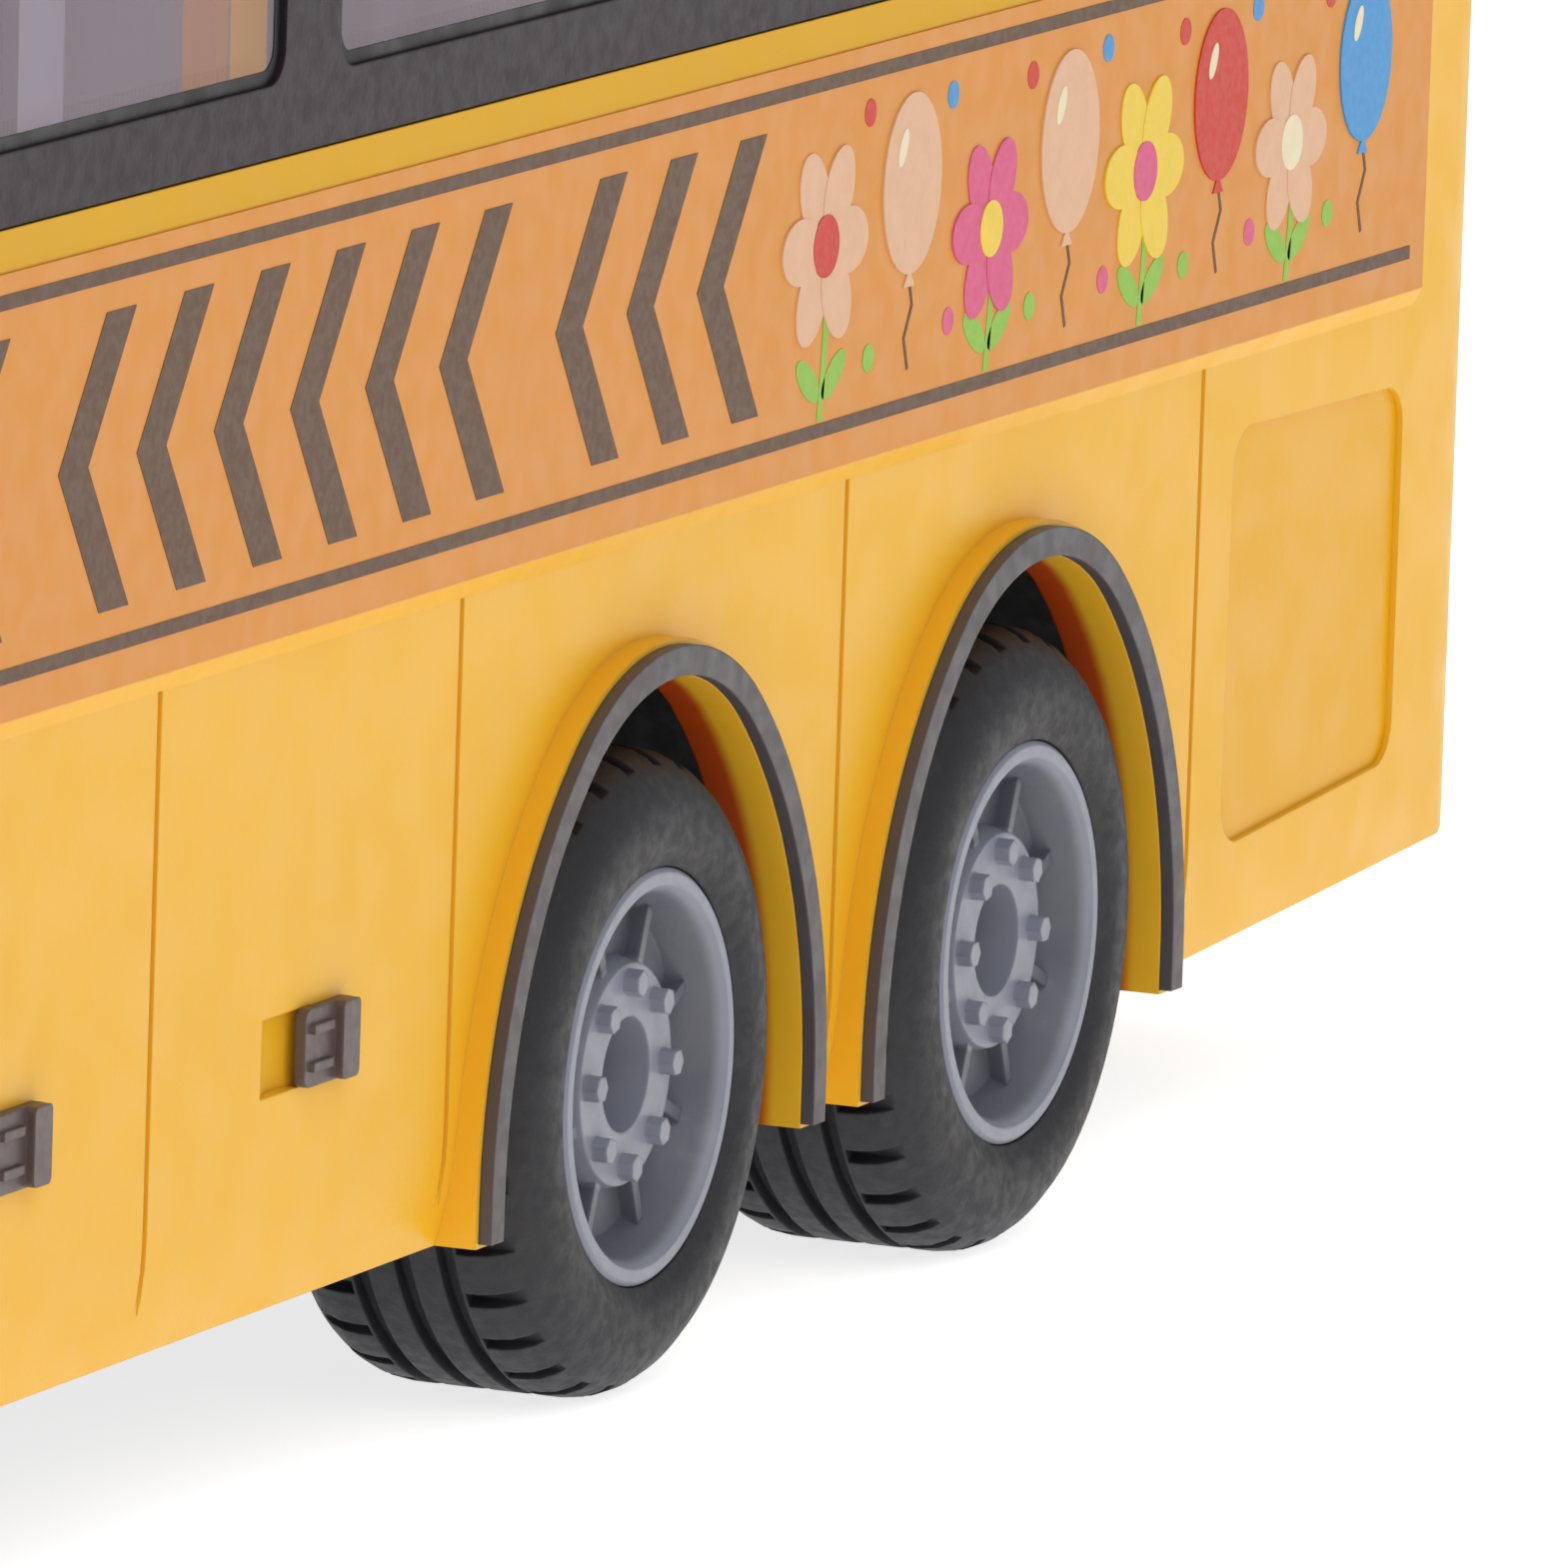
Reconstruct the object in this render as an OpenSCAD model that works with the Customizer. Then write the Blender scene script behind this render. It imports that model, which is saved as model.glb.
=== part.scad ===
// Battery-driven toy coach with three axles, a steered front pair and a geared rear drive.
// Lengths are in millimetres. X runs from nose (-) to tail (+) and Y from left (-) to right (+).
// Z points up from the ground.

/* [Body] */
// Length from nose to tail
body_len = 335; // [328:1:345]
// Width over the side walls
body_w = 82; // [80:1:86]
// Height of the roof's middle over the ground
roof_h = 104; // [102:1:110]
// Thickness of the moulded walls
wall = 2; // [1.8:0.1:2.2]
// Height of the side walls' lower edge over the ground
sill_h = 9.3; // [8.9:0.1:9.8]
// Rise of the lower edge behind the last wheel, at the tail
tail_rise = 2.8; // [1.5:0.1:4]
// Radius between side walls and roof
roof_corner_r = 11; // [8:0.5:11]
// Radius of the roof's crown
roof_crown_r = 170; // [150:5:260]
// Radius of the front corners seen from above
nose_corner_r = 16; // [12:0.5:17]
// Radius of the bowed front seen from above
nose_bow_r = 180; // [150:10:260]
// Radius of the rear corners seen from above
tail_corner_r = 12; // [9:0.5:13]
// Radius of the bowed tail seen from above
tail_bow_r = 300; // [240:10:400]
// Set-back of the windscreen's top
screen_rake = 10; // [6:0.5:12]
// Height over the ground where the front starts to lean back
rake_start_h = 42; // [38:1:44]
// Set-back of the tail's top
tail_lean = 2; // [1.5:0.25:3]
// Radius of the tuck at the foot of the side walls
tuck_r = 17; // [15:0.5:22]
// Height of the tuck above the lower edge
tuck_h = 5.2; // [4:0.1:5.6]
// Height of the roof unit over the roof
pod_h = 4; // [3:0.5:6]
// Length of the roof unit
pod_len = 92; // [70:1:110]
// Width of the roof unit
pod_w = 46; // [40:1:50]

/* [Flank] */
// Lower edge of the raised band over the ground
band_h = 37; // [36.4:0.1:37.4]
// Height of the raised band
band_tall = 20.6; // [20:0.1:21]
// How far the band stands proud
band_proud = 0.65; // [0.4:0.05:0.9]
// Height of the band's lower chamfer
band_foot = 0.9; // [0.6:0.1:1.2]
// Height of the band's upper chamfer
band_brow = 1.35; // [1:0.05:1.6]
// Width of the seams between the side panels
seam_w = 0.4; // [0.3:0.05:0.6]
// Depth of the seams between the side panels
seam_d = 0.35; // [0.2:0.05:0.5]
// Width of one luggage hatch
hatch_pitch = 30.4; // [28:0.2:34]
// Length of a latch handle
handle_len = 4.9; // [4:0.1:5.6]
// Height of a latch handle
handle_tall = 3.3; // [2.8:0.1:4]
// How far a latch handle stands proud
handle_proud = 0.9; // [0.7:0.05:1.2]
// Height of the handles' middle over the ground
handle_h = 20.2; // [18:0.1:23]
// Depth of the tail's side panel
panel_d = 0.3; // [0.2:0.05:0.5]
// Thickness of the printed film on the band
film_t = 0.15; // [0.1:0.01:0.2]

/* [Windows] */
// Height of the window frame
window_tall = 31.6; // [30:0.1:31.8]
// Thickness of the window frame
frame_t = 1; // [0.8:0.05:1.1]
// Thickness of a pane
pane_t = 0.7; // [0.5:0.05:0.75]
// Height of the frame's lower rail
rail_low = 3.1; // [2.6:0.1:3.6]
// Height of the frame's upper rail
rail_top = 3; // [2.4:0.1:3.6]
// Width of a window post
post_w = 5.6; // [5:0.1:6.4]
// Distance between window posts
post_pitch = 60; // [56:1:62]
// Distance from the drive axle to the next post in front of it
post_lead = 35.6; // [33:0.1:38]
// Radius of the panes' corners
pane_r = 1.4; // [1:0.1:2]
// Depth of the ribs behind the posts
rib_d = 3.3; // [2.5:0.1:4]

/* [Wheel arches] */
// Half the width of an arch at its foot
arch_half_w = 17.7; // [17.4:0.1:18]
// Height of the arch's top over the axle
arch_rise = 18.6; // [18.4:0.1:19]
// Drop of the arch's springing line below the axle
arch_drop = 2.7; // [2.3:0.1:3]
// Radius of the arch's sides
arch_side_r = 23.4; // [22.9:0.1:24.2]
// Width of the arch trim
trim_w = 1.3; // [1.1:0.05:1.45]
// Thickness of the arch trim
trim_t = 0.6; // [0.5:0.05:0.8]
// How far the flare under the trim stands proud
flare_proud = 1.1; // [1:0.05:1.5]

/* [Wheels] */
// Radius of a tyre
tyre_r = 14; // [13.8:0.05:14.2]
// Width of a tyre
tyre_w = 12.5; // [12:0.1:12.6]
// Radius of a tyre's shoulder
shoulder_r = 3; // [2.4:0.1:3.2]
// Width of the grooves round the tread
groove_w = 0.8; // [0.6:0.05:1]
// Depth of the grooves round the tread
groove_d = 0.7; // [0.5:0.05:0.9]
// Notches in each shoulder of the tread
notch_count = 30; // [24:2:36]
// Radius of a rim's lip
rim_r = 9; // [8.8:0.05:9.2]
// Width of a rim's lip
lip_w = 0.75; // [0.6:0.05:0.9]
// Depth of a rim's dish
dish_d = 2.3; // [2:0.1:2.6]
// Radius of the dish's floor
dish_r = 7.1; // [6.8:0.1:7.3]
// Radius of the hub's flange
hub_r = 4.8; // [4.6:0.1:5]
// Radius of the recess in the hub
recess_r = 2.5; // [2.3:0.1:2.7]
// Radius of the circle of wheel nuts
nut_circle_r = 4; // [3.8:0.05:4.1]
// Number of wheel nuts
nut_count = 8; // [6:1:9]
// How far the rims' lips stand outside the side walls
lip_proud = 1.1; // [0.9:0.05:1.2]
// Distance from the tail to the last axle
tail_overhang = 64.3; // [62:0.1:66]
// Distance between the two rear axles
tandem_gap = 40.7; // [40.4:0.1:42]
// Distance from the steered axle to the drive axle
wheelbase = 160; // [156:1:164]
// Radius of the steel axles
axle_r = 1.5; // [1.4:0.05:1.6]

/* [Drive] */
// Size of a gear tooth as pitch diameter over tooth count
gear_module = 0.5; // [0.48:0.01:0.51]
// Teeth of the gear on the drive axle
axle_teeth = 18; // [18:1:18]
// Teeth of both pinions
pinion_teeth = 12; // [12:1:12]
// Teeth of the large reduction gear
wheel_teeth = 20; // [18:1:21]
// Face width of a gear
gear_t = 3; // [2.6:0.1:3.2]
// Width of the drive motor's can
motor_w = 20; // [19:0.5:20]
// Height between the motor can's flats
motor_flat = 15; // [14:0.5:15.5]
// Length of the drive motor's can
motor_len = 20; // [18:0.5:21]

/* [Steering] */
// Distance from the middle to a steering pivot
pivot_y = 25; // [24.5:0.1:25.2]
// Length of the steering arms
steer_arm = 9; // [8.5:0.1:9.5]
// Length of the servo's arm
servo_arm_len = 13; // [12:0.5:14]

/* [Chassis] */
// Thickness of the chassis floor
floor_t = 2; // [1.8:0.1:2.2]
// Length of a battery cell
cell_len = 50; // [46:1:52]
// Radius of a battery cell
cell_r = 7.1; // [6.8:0.1:7.3]
// Travel of the power switch
switch_travel = 3; // [2:0.5:3.5]

/* [Clearances] */
// Gap between pieces that are fixed to each other
fit = 0.1; // [0.05:0.01:0.15]
// Radial gap of a shaft that turns in its bore
run_fit = 0.06; // [0.04:0.01:0.09]
// Gap between pieces that move past each other
play = 0.35; // [0.3:0.05:0.4]

/* [Hidden] */
$fn = 64;
x_nose = -body_len / 2;
x_tail = body_len / 2;
x_tag = x_tail - tail_overhang;
x_drive = x_tag - tandem_gap;
x_steer = x_drive - wheelbase;
y_side = body_w / 2;
axle_z = tyre_r;
through = 6;
sink = 0.5;
arc_ease = 0.002;

// Side view of the ends
profile_out = 1;
lean_start_h = 62;
rake_slope = screen_rake / (roof_h - rake_start_h);
lean_slope = tail_lean / (roof_h - lean_start_h);

// Arch: two side arcs that run tangent into one top arc
arch_foot_z = axle_z - arch_drop;
arch_tall = arch_rise + arch_drop;
arch_shift = arch_side_r - arch_half_w;
arch_top_r = (pow(arch_shift, 2) + pow(arch_tall, 2) - pow(arch_side_r, 2))
    / (2 * (arch_tall - arch_side_r));
arch_top_z = arch_foot_z + arch_tall - arch_top_r;
arch_lean = atan2(arch_top_z - arch_foot_z, arch_shift);
flare_edge = 0.25;

// Flank layout
band_top = band_h + band_tall;
film_z0 = band_h + band_foot + fit;
film_z1 = band_top - band_brow - fit;
band_x0 = x_steer - arch_half_w - 4;
band_x1 = x_tag + 47.2;
seam_lead = arch_half_w + 1.2;
seam_lag = arch_half_w + 4.1;
hatch_x0 = x_steer + seam_lag;
hatch_x1 = x_drive - seam_lead;
hatch_count = round((hatch_x1 - hatch_x0) / hatch_pitch);
hatch_w = (hatch_x1 - hatch_x0) / hatch_count;
handle_lead = 13.2;

// Window layout
frame_z0 = band_top + 0.15;
frame_z1 = frame_z0 + window_tall;
frame_x0 = x_nose + nose_corner_r + 2;
frame_x1 = x_tail - tail_corner_r - 6;
shortest_pane = 25;
first_post = x_drive - post_lead;
posts = [for (k = [-9 : 9])
    let (x = first_post + k * post_pitch)
    if (x > frame_x0 + shortest_pane && x < frame_x1 - shortest_pane) x];
pane_edges = concat([frame_x0], posts, [frame_x1]);
pane_z0 = frame_z0 + rail_low;
pane_z1 = frame_z1 - rail_top;
pane_lip = 0.9;
frame_y = y_side - frame_t;

// Wheels, measured inwards from the rim's lip
y_lip = y_side + lip_proud;
bulge = 0.35;
flange_t = 0.8;
bead_gap = 0.05;
rim_w = tyre_w - 2 * bulge - 0.8;
seat_r = rim_r - 0.6;
hub_face = 1.2;
recess_d = 4;
web_back = dish_d + 2;
hub_boss_r = 3.4;
well_r = arch_rise - trim_w + 0.9;
steer_well_r = 21.6;
well_t = 1.2;
well_y1 = y_side - wall - fit;
well_y0 = y_lip + bulge - tyre_w - 2.4;
hub_len = y_lip - well_y0 - 0.8;
axle_end = y_lip - recess_d + 0.6;

// Chassis levels
chassis_z = sill_h - 0.35;
floor_z = chassis_z + floor_t;
tail_bend_x = x_tag + arch_half_w;
function floor_lift(x) = max(0, (x - tail_bend_x) / (x_tail - tail_bend_x)) * (tail_rise + 0.6);

// Gear train in the plane of the side view
pressure = 20;
tooth_thin = 0.12;
tip_share = 0.85;
root_share = 1.15;
mesh_gap = 0.1;
axle_pitch_r = gear_module * axle_teeth / 2;
pinion_pitch_r = gear_module * pinion_teeth / 2;
wheel_pitch_r = gear_module * wheel_teeth / 2;
red_reach = axle_pitch_r + pinion_pitch_r + mesh_gap;
red_dz = 6.5;
red_dx = -sqrt(pow(red_reach, 2) - pow(red_dz, 2));
red_angle = atan2(red_dz, red_dx);
motor_reach = wheel_pitch_r + pinion_pitch_r + mesh_gap;
motor_dz = 2.9;
motor_dx = -sqrt(pow(motor_reach, 2) - pow(motor_dz, 2));
motor_angle = atan2(motor_dz, motor_dx);
red_at = [x_drive + red_dx, axle_z + red_dz];
motor_at = red_at + [motor_dx, motor_dz];
plate_t = 2;
plate_y = 0;
fast_y1 = plate_y - 1.2;
slow_y1 = fast_y1 - gear_t - 0.8;
far_plate_y = slow_y1 - gear_t - 1.2 - plate_t;
pin_r = 1;

// Battery bay
bay_half = cell_len / 2 + 7;
bay_y = 2 * cell_r + 1.6;
bay_t = 1.6;
cover_t = 1.5;
cell_z = chassis_z + cover_t + cell_r + 0.15;
bay_top = cell_z + cell_r + 1.4;

// Steering levels
lug_t = 2;
lug_z = axle_z + 5;
knuckle_r = 3;
knuckle_z0 = floor_z + play;
knuckle_z1 = lug_z - play;
arm_t = 1.8;
rod_z = knuckle_z0 + arm_t + play;
rod_t = 1.8;
rod_x = x_steer + steer_arm;
servo_x = rod_x + servo_arm_len;
servo_end = servo_x + 24;
servo_arm_z = rod_z + rod_t + play;
servo_z = servo_arm_z + arm_t + play;

// Along the floor from the servo to the switch
bay_x = servo_end + play + bay_t + bay_half;
cell_x = bay_x - 3.5;
switch_x = bay_x + bay_half + bay_t + 7;

deck_z = 52;
screw_y = y_side - 4.5;
screw_x = [x_nose + 26, x_steer + 32, x_drive - 30, x_tail - 32];
cover_screw_x = bay_x + bay_half - 4.5;

body_yellow = [0.93, 0.62, 0.05];
film_orange = [0.86, 0.45, 0.11];
frame_grey = [0.2, 0.19, 0.19];
pane_smoke = [0.36, 0.32, 0.4];
trim_grey = [0.55, 0.53, 0.54];
rim_grey = [0.42, 0.46, 0.53];
tyre_black = [0.08, 0.08, 0.08];
chassis_black = [0.1, 0.1, 0.1];
handle_grey = [0.45, 0.4, 0.37];
steel = [0.7, 0.7, 0.72];
clear = [0.85, 0.87, 0.9];
chrome = [0.8, 0.8, 0.82];
lamp_red = [0.6, 0.05, 0.05];
seat_grey = [0.4, 0.4, 0.44];
gear_white = [0.88, 0.86, 0.8];
board_green = [0.1, 0.35, 0.15];
cell_blue = [0.15, 0.3, 0.55];

function unit(v) = v / norm(v);
function fillet(p, i, r) =
    let (
        n = len(p),
        u = unit(p[(i + n - 1) % n] - p[i]),
        v = unit(p[(i + 1) % n] - p[i]),
        half = acos(u * v) / 2
    )
    [p[i] + u * r / tan(half), p[i] + v * r / tan(half), p[i] + unit(u + v) * r / sin(half)];

// Outline with true arcs at its outer corners, which meet the straight edges at a very slight angle
module rounded(points, radii) {
    difference() {
        polygon(points);
        for (i = [0 : len(points) - 1])
            if (radii[i] > 0)
                corner_waste(points[i], fillet(points, i, radii[i]), radii[i] * (1 + arc_ease));
    }
}

module corner_waste(corner, bend, r) {
    centre = bend[2];
    difference() {
        polygon([centre, 2 * bend[0] - centre, 3 * corner - 2 * centre, 2 * bend[1] - centre]);
        translate(centre)
            circle(r);
    }
}

module rounded_box(x0, z0, x1, z1, r) {
    translate([x0 + r, z0])
        square([x1 - x0 - 2 * r, z1 - z0]);
    translate([x0, z0 + r])
        square([x1 - x0, z1 - z0 - 2 * r]);
    for (x = [x0 + r, x1 - r])
        for (z = [z0 + r, z1 - r])
            translate([x, z])
                circle(r);
}

// Outline in the side view, made solid between two distances from the middle
module slab(y0, y1) {
    translate([0, y1, 0])
        rotate([90, 0, 0])
            linear_extrude(y1 - y0)
                children();
}

// Outline in the front view, made solid between two stations along the length
module bar(x0, x1) {
    translate([x0, 0, 0])
        rotate([90, 0, 90])
            linear_extrude(x1 - x0)
                children();
}

module level(z0, z1) {
    translate([0, 0, z0])
        linear_extrude(z1 - z0)
            children();
}

module on_side(side) {
    if (side < 0)
        mirror([0, 1, 0])
            children();
    else
        children();
}

// Upright outline with a crowned top that runs smoothly into its corners
module crowned(w, h, corner, crown) {
    cx = w / 2 - corner;
    ck = h - crown;
    cz = ck + sqrt(pow(crown - corner, 2) - cx * cx);
    top_x = cx * crown / (crown - corner);
    intersection() {
        translate([0, ck])
            circle(crown, $fn = 240);
        union() {
            translate([-w / 2, 0])
                square([w, cz + corner * arc_ease]);
            translate([-top_x, 0])
                square([2 * top_x, h + 1]);
            for (s = [-1, 1])
                translate([s * cx, cz + corner * arc_ease])
                    circle(corner);
        }
    }
}

// Points of an arc, from one angle to another
function arc(centre, r, from, to, steps) =
    [for (k = [0 : steps])
        let (a = from + (to - from) * k / steps)
        centre + r * [cos(a), sin(a)]];

module section(inset) {
    tuck_z = sill_h + tuck_h;
    foot = arc([y_side - tuck_r, tuck_z], tuck_r - inset, -asin(tuck_h / (tuck_r - inset)), 0, 4);
    if (inset < wall) {
        translate([0, tuck_z])
            crowned(body_w - 2 * inset, roof_h - inset - tuck_z, roof_corner_r - inset, roof_crown_r - inset);
        polygon([for (p = foot) p, for (k = [4 : -1 : 0]) [-foot[k][0], foot[k][1]]]);
    } else
        crowned(body_w - 2 * inset, roof_h - inset, roof_corner_r - inset, roof_crown_r - inset);
}

// Side view. Its upright ends and its top stand clear of the bowed ends and the crowned roof.
module profile(inset) {
    foot = inset < wall ? sill_h : -through;
    tail_foot = inset < wall ? sill_h + tail_rise : -through;
    top = roof_h + profile_out - inset;
    nose_x = x_nose - profile_out + inset;
    tail_x = x_tail + profile_out - inset;
    rounded(
        [
            [nose_x, foot], [tail_bend_x, foot], [tail_x, tail_foot],
            [tail_x, lean_start_h - profile_out / lean_slope],
            [x_tail - inset - lean_slope * (top - lean_start_h), top],
            [x_nose + inset + rake_slope * (top - rake_start_h), top],
            [nose_x, rake_start_h - profile_out / rake_slope]
        ],
        [0, 0, 0, 0, 9 - inset, 14 - inset, 0]
    );
}

module plan(inset) {
    rotate(90)
        crowned(body_w - 2 * inset, body_len / 2 - inset, nose_corner_r - inset, nose_bow_r - inset);
    rotate(-90)
        crowned(body_w - 2 * inset, body_len / 2 - inset, tail_corner_r - inset, tail_bow_r - inset);
}

module body_solid(inset) {
    intersection() {
        bar(x_nose - through, x_tail + through)
            section(inset);
        slab(-y_side - through, y_side + through)
            profile(inset);
        level(-through, roof_h + through)
            plan(inset);
    }
}

// Layer of the body between two depths, cut to an outline in the front view
module skin(x0, x1, inset0, inset1) {
    intersection() {
        difference() {
            bar(x0, x1)
                children();
            body_solid(inset1);
        }
        body_solid(inset0);
    }
}

module nose_skin(inset0, inset1, reach) {
    skin(x_nose - through, x_nose + reach, inset0, inset1)
        children();
}

module tail_skin(inset0, inset1, reach) {
    skin(x_tail - reach, x_tail + through, inset0, inset1)
        children();
}

// Wheel opening standing on the ground, grown outwards all round
module arch(grow) {
    w = arch_half_w + grow;
    join_z = arch_top_z + sin(arch_lean) * (arch_top_r + grow);
    translate([-w, 0])
        square([2 * w, arch_foot_z]);
    intersection() {
        translate([-arch_shift, arch_foot_z])
            circle(arch_side_r + grow);
        translate([arch_shift, arch_foot_z])
            circle(arch_side_r + grow);
        union() {
            translate([-w, arch_foot_z])
                square([2 * w, join_z - arch_foot_z]);
            translate([0, arch_top_z + arch_top_r * arc_ease])
                intersection() {
                    circle(arch_top_r + grow);
                    translate([-w, 0])
                        square([2 * w, arch_tall]);
                }
        }
    }
}

module arch_ring(grow, foot) {
    difference() {
        arch(grow);
        arch(-trim_w);
        translate([-2 * arch_half_w, -through])
            square([4 * arch_half_w, through + foot]);
    }
}

module screen_outline(grow) {
    rounded_box(-33 - grow, 46 - grow, 33 + grow, 90.5 + grow, 4 + grow);
}

module back_glass_outline(grow) {
    rounded_box(-30 - grow, 62 - grow, 30 + grow, 90 + grow, 4 + grow);
}

module lamp_outline(grow) {
    for (s = [0, 1])
        mirror([s, 0])
            rounded_box(19 - grow, 19 - grow, 36 + grow, 30 + grow, 3 + grow);
}

module grille_outline(grow) {
    rounded_box(-15 - grow, 15 - grow, 15 + grow, 28 + grow, 2 + grow);
}

module tail_lamp_outline(grow) {
    for (s = [0, 1])
        mirror([s, 0])
            rounded_box(29 - grow, 22 - grow, 37 + grow, 44 + grow, 2 + grow);
}

module pane_outline(i, grow) {
    left = i == 0 ? post_w * 0.6 : post_w / 2;
    right = i == len(pane_edges) - 2 ? post_w * 0.6 : post_w / 2;
    rounded_box(pane_edges[i] + left - grow, pane_z0 - grow,
        pane_edges[i + 1] - right + grow, pane_z1 + grow, max(0.4, pane_r + grow));
}

module frame_outline(grow) {
    rounded_box(frame_x0 - grow, frame_z0 - grow, frame_x1 + grow, frame_z1 + grow, 2 + grow);
}

// Panes of the folding entry door, on the right side only
door_x0 = x_nose + nose_corner_r + 1.5;
door_x1 = band_x0 - 1.5;
door_mid = (door_x0 + door_x1) / 2;
module door_panes(grow) {
    for (x = [door_x0, door_mid])
        rounded_box(x + 2 - grow, 24 - grow, x + (door_x1 - door_x0) / 2 - 2 + grow, 54 + grow, 1.2 + grow);
}

module tail_panel() {
    x0 = x_tag + 25.8;
    x1 = x_tag + 46.4;
    rounded([[x0, 14.5], [x1, 15.9], [x1, 33.4], [x0, 33.8]], [2, 2, 2, 2]);
}

module seam(x) {
    translate([x - seam_w / 2, y_side - seam_d, sill_h - sink])
        cube([seam_w, through, band_h - sill_h + sink]);
}

module band() {
    intersection() {
        bar(band_x0, band_x1)
            polygon([
                [y_side - sink, band_h], [y_side, band_h], [y_side + band_proud, band_h + band_foot],
                [y_side + band_proud, band_top - band_brow], [y_side, band_top], [y_side - sink, band_top]
            ]);
        level(0, roof_h)
            polygon([
                [band_x0, 0], [band_x1, 0], [band_x1, y_side],
                [band_x1 - band_proud, y_side + band_proud],
                [band_x0 + band_proud, y_side + band_proud], [band_x0, y_side]
            ]);
    }
}

module flank_cuts(side) {
    slab(y_side - frame_t, y_side + through)
        frame_outline(fit);
    for (i = [0 : len(pane_edges) - 2])
        slab(y_side - wall - through, y_side)
            pane_outline(i, -pane_lip);
    for (x = [x_steer, x_drive, x_tag])
        translate([x, 0, 0])
            slab(y_side - wall - 1, y_side + through)
                arch(-trim_w);
    for (i = [0 : hatch_count])
        seam(hatch_x0 + i * hatch_w);
    for (x = [x_steer - seam_lag, x_tag - seam_lead, x_tag + seam_lag])
        seam(x);
    for (i = [1 : hatch_count])
        translate([hatch_x0 + i * hatch_w - handle_lead - handle_len / 2 - 0.9, y_side + 4.4, handle_h])
            cylinder(r = 5, h = handle_tall, center = true);
    slab(y_side - panel_d, y_side + through)
        tail_panel();
    if (side > 0) {
        slab(y_side - pane_t - fit, y_side + through)
            door_panes(fit);
        for (x = [door_x0, door_mid, door_x1])
            seam(x);
    }
}

module flank_adds() {
    band();
    for (x = [x_steer, x_drive, x_tag])
        translate([x, 0, 0])
            slab(y_side - wall, y_side + flare_proud)
                arch_ring(flare_edge, sill_h);
    for (x = posts)
        translate([x - post_w / 4, y_side - wall - rib_d, frame_z0])
            cube([post_w / 2, rib_d + sink, window_tall]);
    for (x = concat([frame_x0 + 6], posts, [frame_x1 - 6]))
        translate([x - 3, y_side - wall - 2.6, deck_z - 3])
            cube([6, 2.6 + sink, 3]);
}

module body_shell() {
    color(body_yellow)
        difference() {
            union() {
                difference() {
                    body_solid(0);
                    body_solid(wall);
                    for (s = [-1, 1])
                        on_side(s)
                            flank_cuts(s);
                    bar(x_nose - through, x_nose + 30) {
                        screen_outline(fit);
                        lamp_outline(fit);
                        grille_outline(fit);
                    }
                    bar(x_tail - 20, x_tail + through) {
                        back_glass_outline(fit);
                        tail_lamp_outline(fit);
                    }
                    for (z = [22 : 3.5 : 40])
                        bar(x_tail - 1.1, x_tail + through)
                            rounded_box(-20, z, 20, z + 1.4, 0.6);
                }
                for (s = [-1, 1])
                    on_side(s)
                        flank_adds();
                level(roof_h - wall, roof_h + pod_h)
                    rounded_box(-pod_len / 2, -pod_w / 2, pod_len / 2, pod_w / 2, 8);
                for (x = screw_x)
                    for (s = [-1, 1])
                        translate([x, s * screw_y, floor_z + floor_lift(x + knuckle_r) + fit])
                            cylinder(r = 3, h = 16);
            }
            for (x = screw_x)
                for (s = [-1, 1])
                    translate([x, s * screw_y, chassis_z])
                        cylinder(r = 1.2, h = 16);
            for (i = [-3 : 3])
                translate([i * 11 - 1.5, -pod_w / 2 + 6, roof_h + pod_h - 0.8])
                    cube([3, pod_w - 12, through]);
        }
}

module window_frame(side) {
    color(frame_grey)
        on_side(side)
            slab(frame_y, y_side)
                difference() {
                    frame_outline(0);
                    for (i = [0 : len(pane_edges) - 2])
                        pane_outline(i, fit);
                }
}

module window_panes(side) {
    color(pane_smoke)
        on_side(side) {
            slab(frame_y, frame_y + pane_t)
                for (i = [0 : len(pane_edges) - 2])
                    pane_outline(i, 0);
            if (side > 0)
                slab(y_side - pane_t - fit, y_side - fit)
                    door_panes(0);
        }
}

module windscreen() {
    color(pane_smoke)
        nose_skin(fit, fit + 1.2, 26)
            screen_outline(0);
}

module rear_window() {
    color(pane_smoke)
        tail_skin(fit, fit + 1.2, 16)
            back_glass_outline(0);
}

module front_grille() {
    color(chassis_black)
        difference() {
            nose_skin(0.4, wall, 12)
                grille_outline(0);
            for (z = [17 : 3 : 26])
                translate([x_nose - through, -13, z])
                    cube([through + 1.3, 26, 1.4]);
        }
}

module headlight_lenses() {
    color(clear)
        nose_skin(fit, fit + 1, 20)
            lamp_outline(0);
}

module headlight_reflectors() {
    color(chrome)
        difference() {
            nose_skin(1.4, 3.4, 22)
                lamp_outline(-0.4);
            for (s = [-1, 1])
                for (y = [23.5, 31])
                    translate([x_nose - 1, s * y, 24.5])
                        rotate([0, 90, 0])
                            cylinder(r1 = 3.2, r2 = 1.2, h = 9.5);
        }
}

module headlight_leds() {
    color(clear)
        for (s = [-1, 1])
            for (y = [23.5, 31])
                translate([x_nose + 9, s * y, 24.5])
                    rotate([0, -90, 0]) {
                        cylinder(r = 1, h = 3.2);
                        translate([0, 0, 3.2])
                            sphere(1);
                    }
}

module tail_lights() {
    color(lamp_red)
        tail_skin(fit, wall, 16)
            tail_lamp_outline(0);
}

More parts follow.
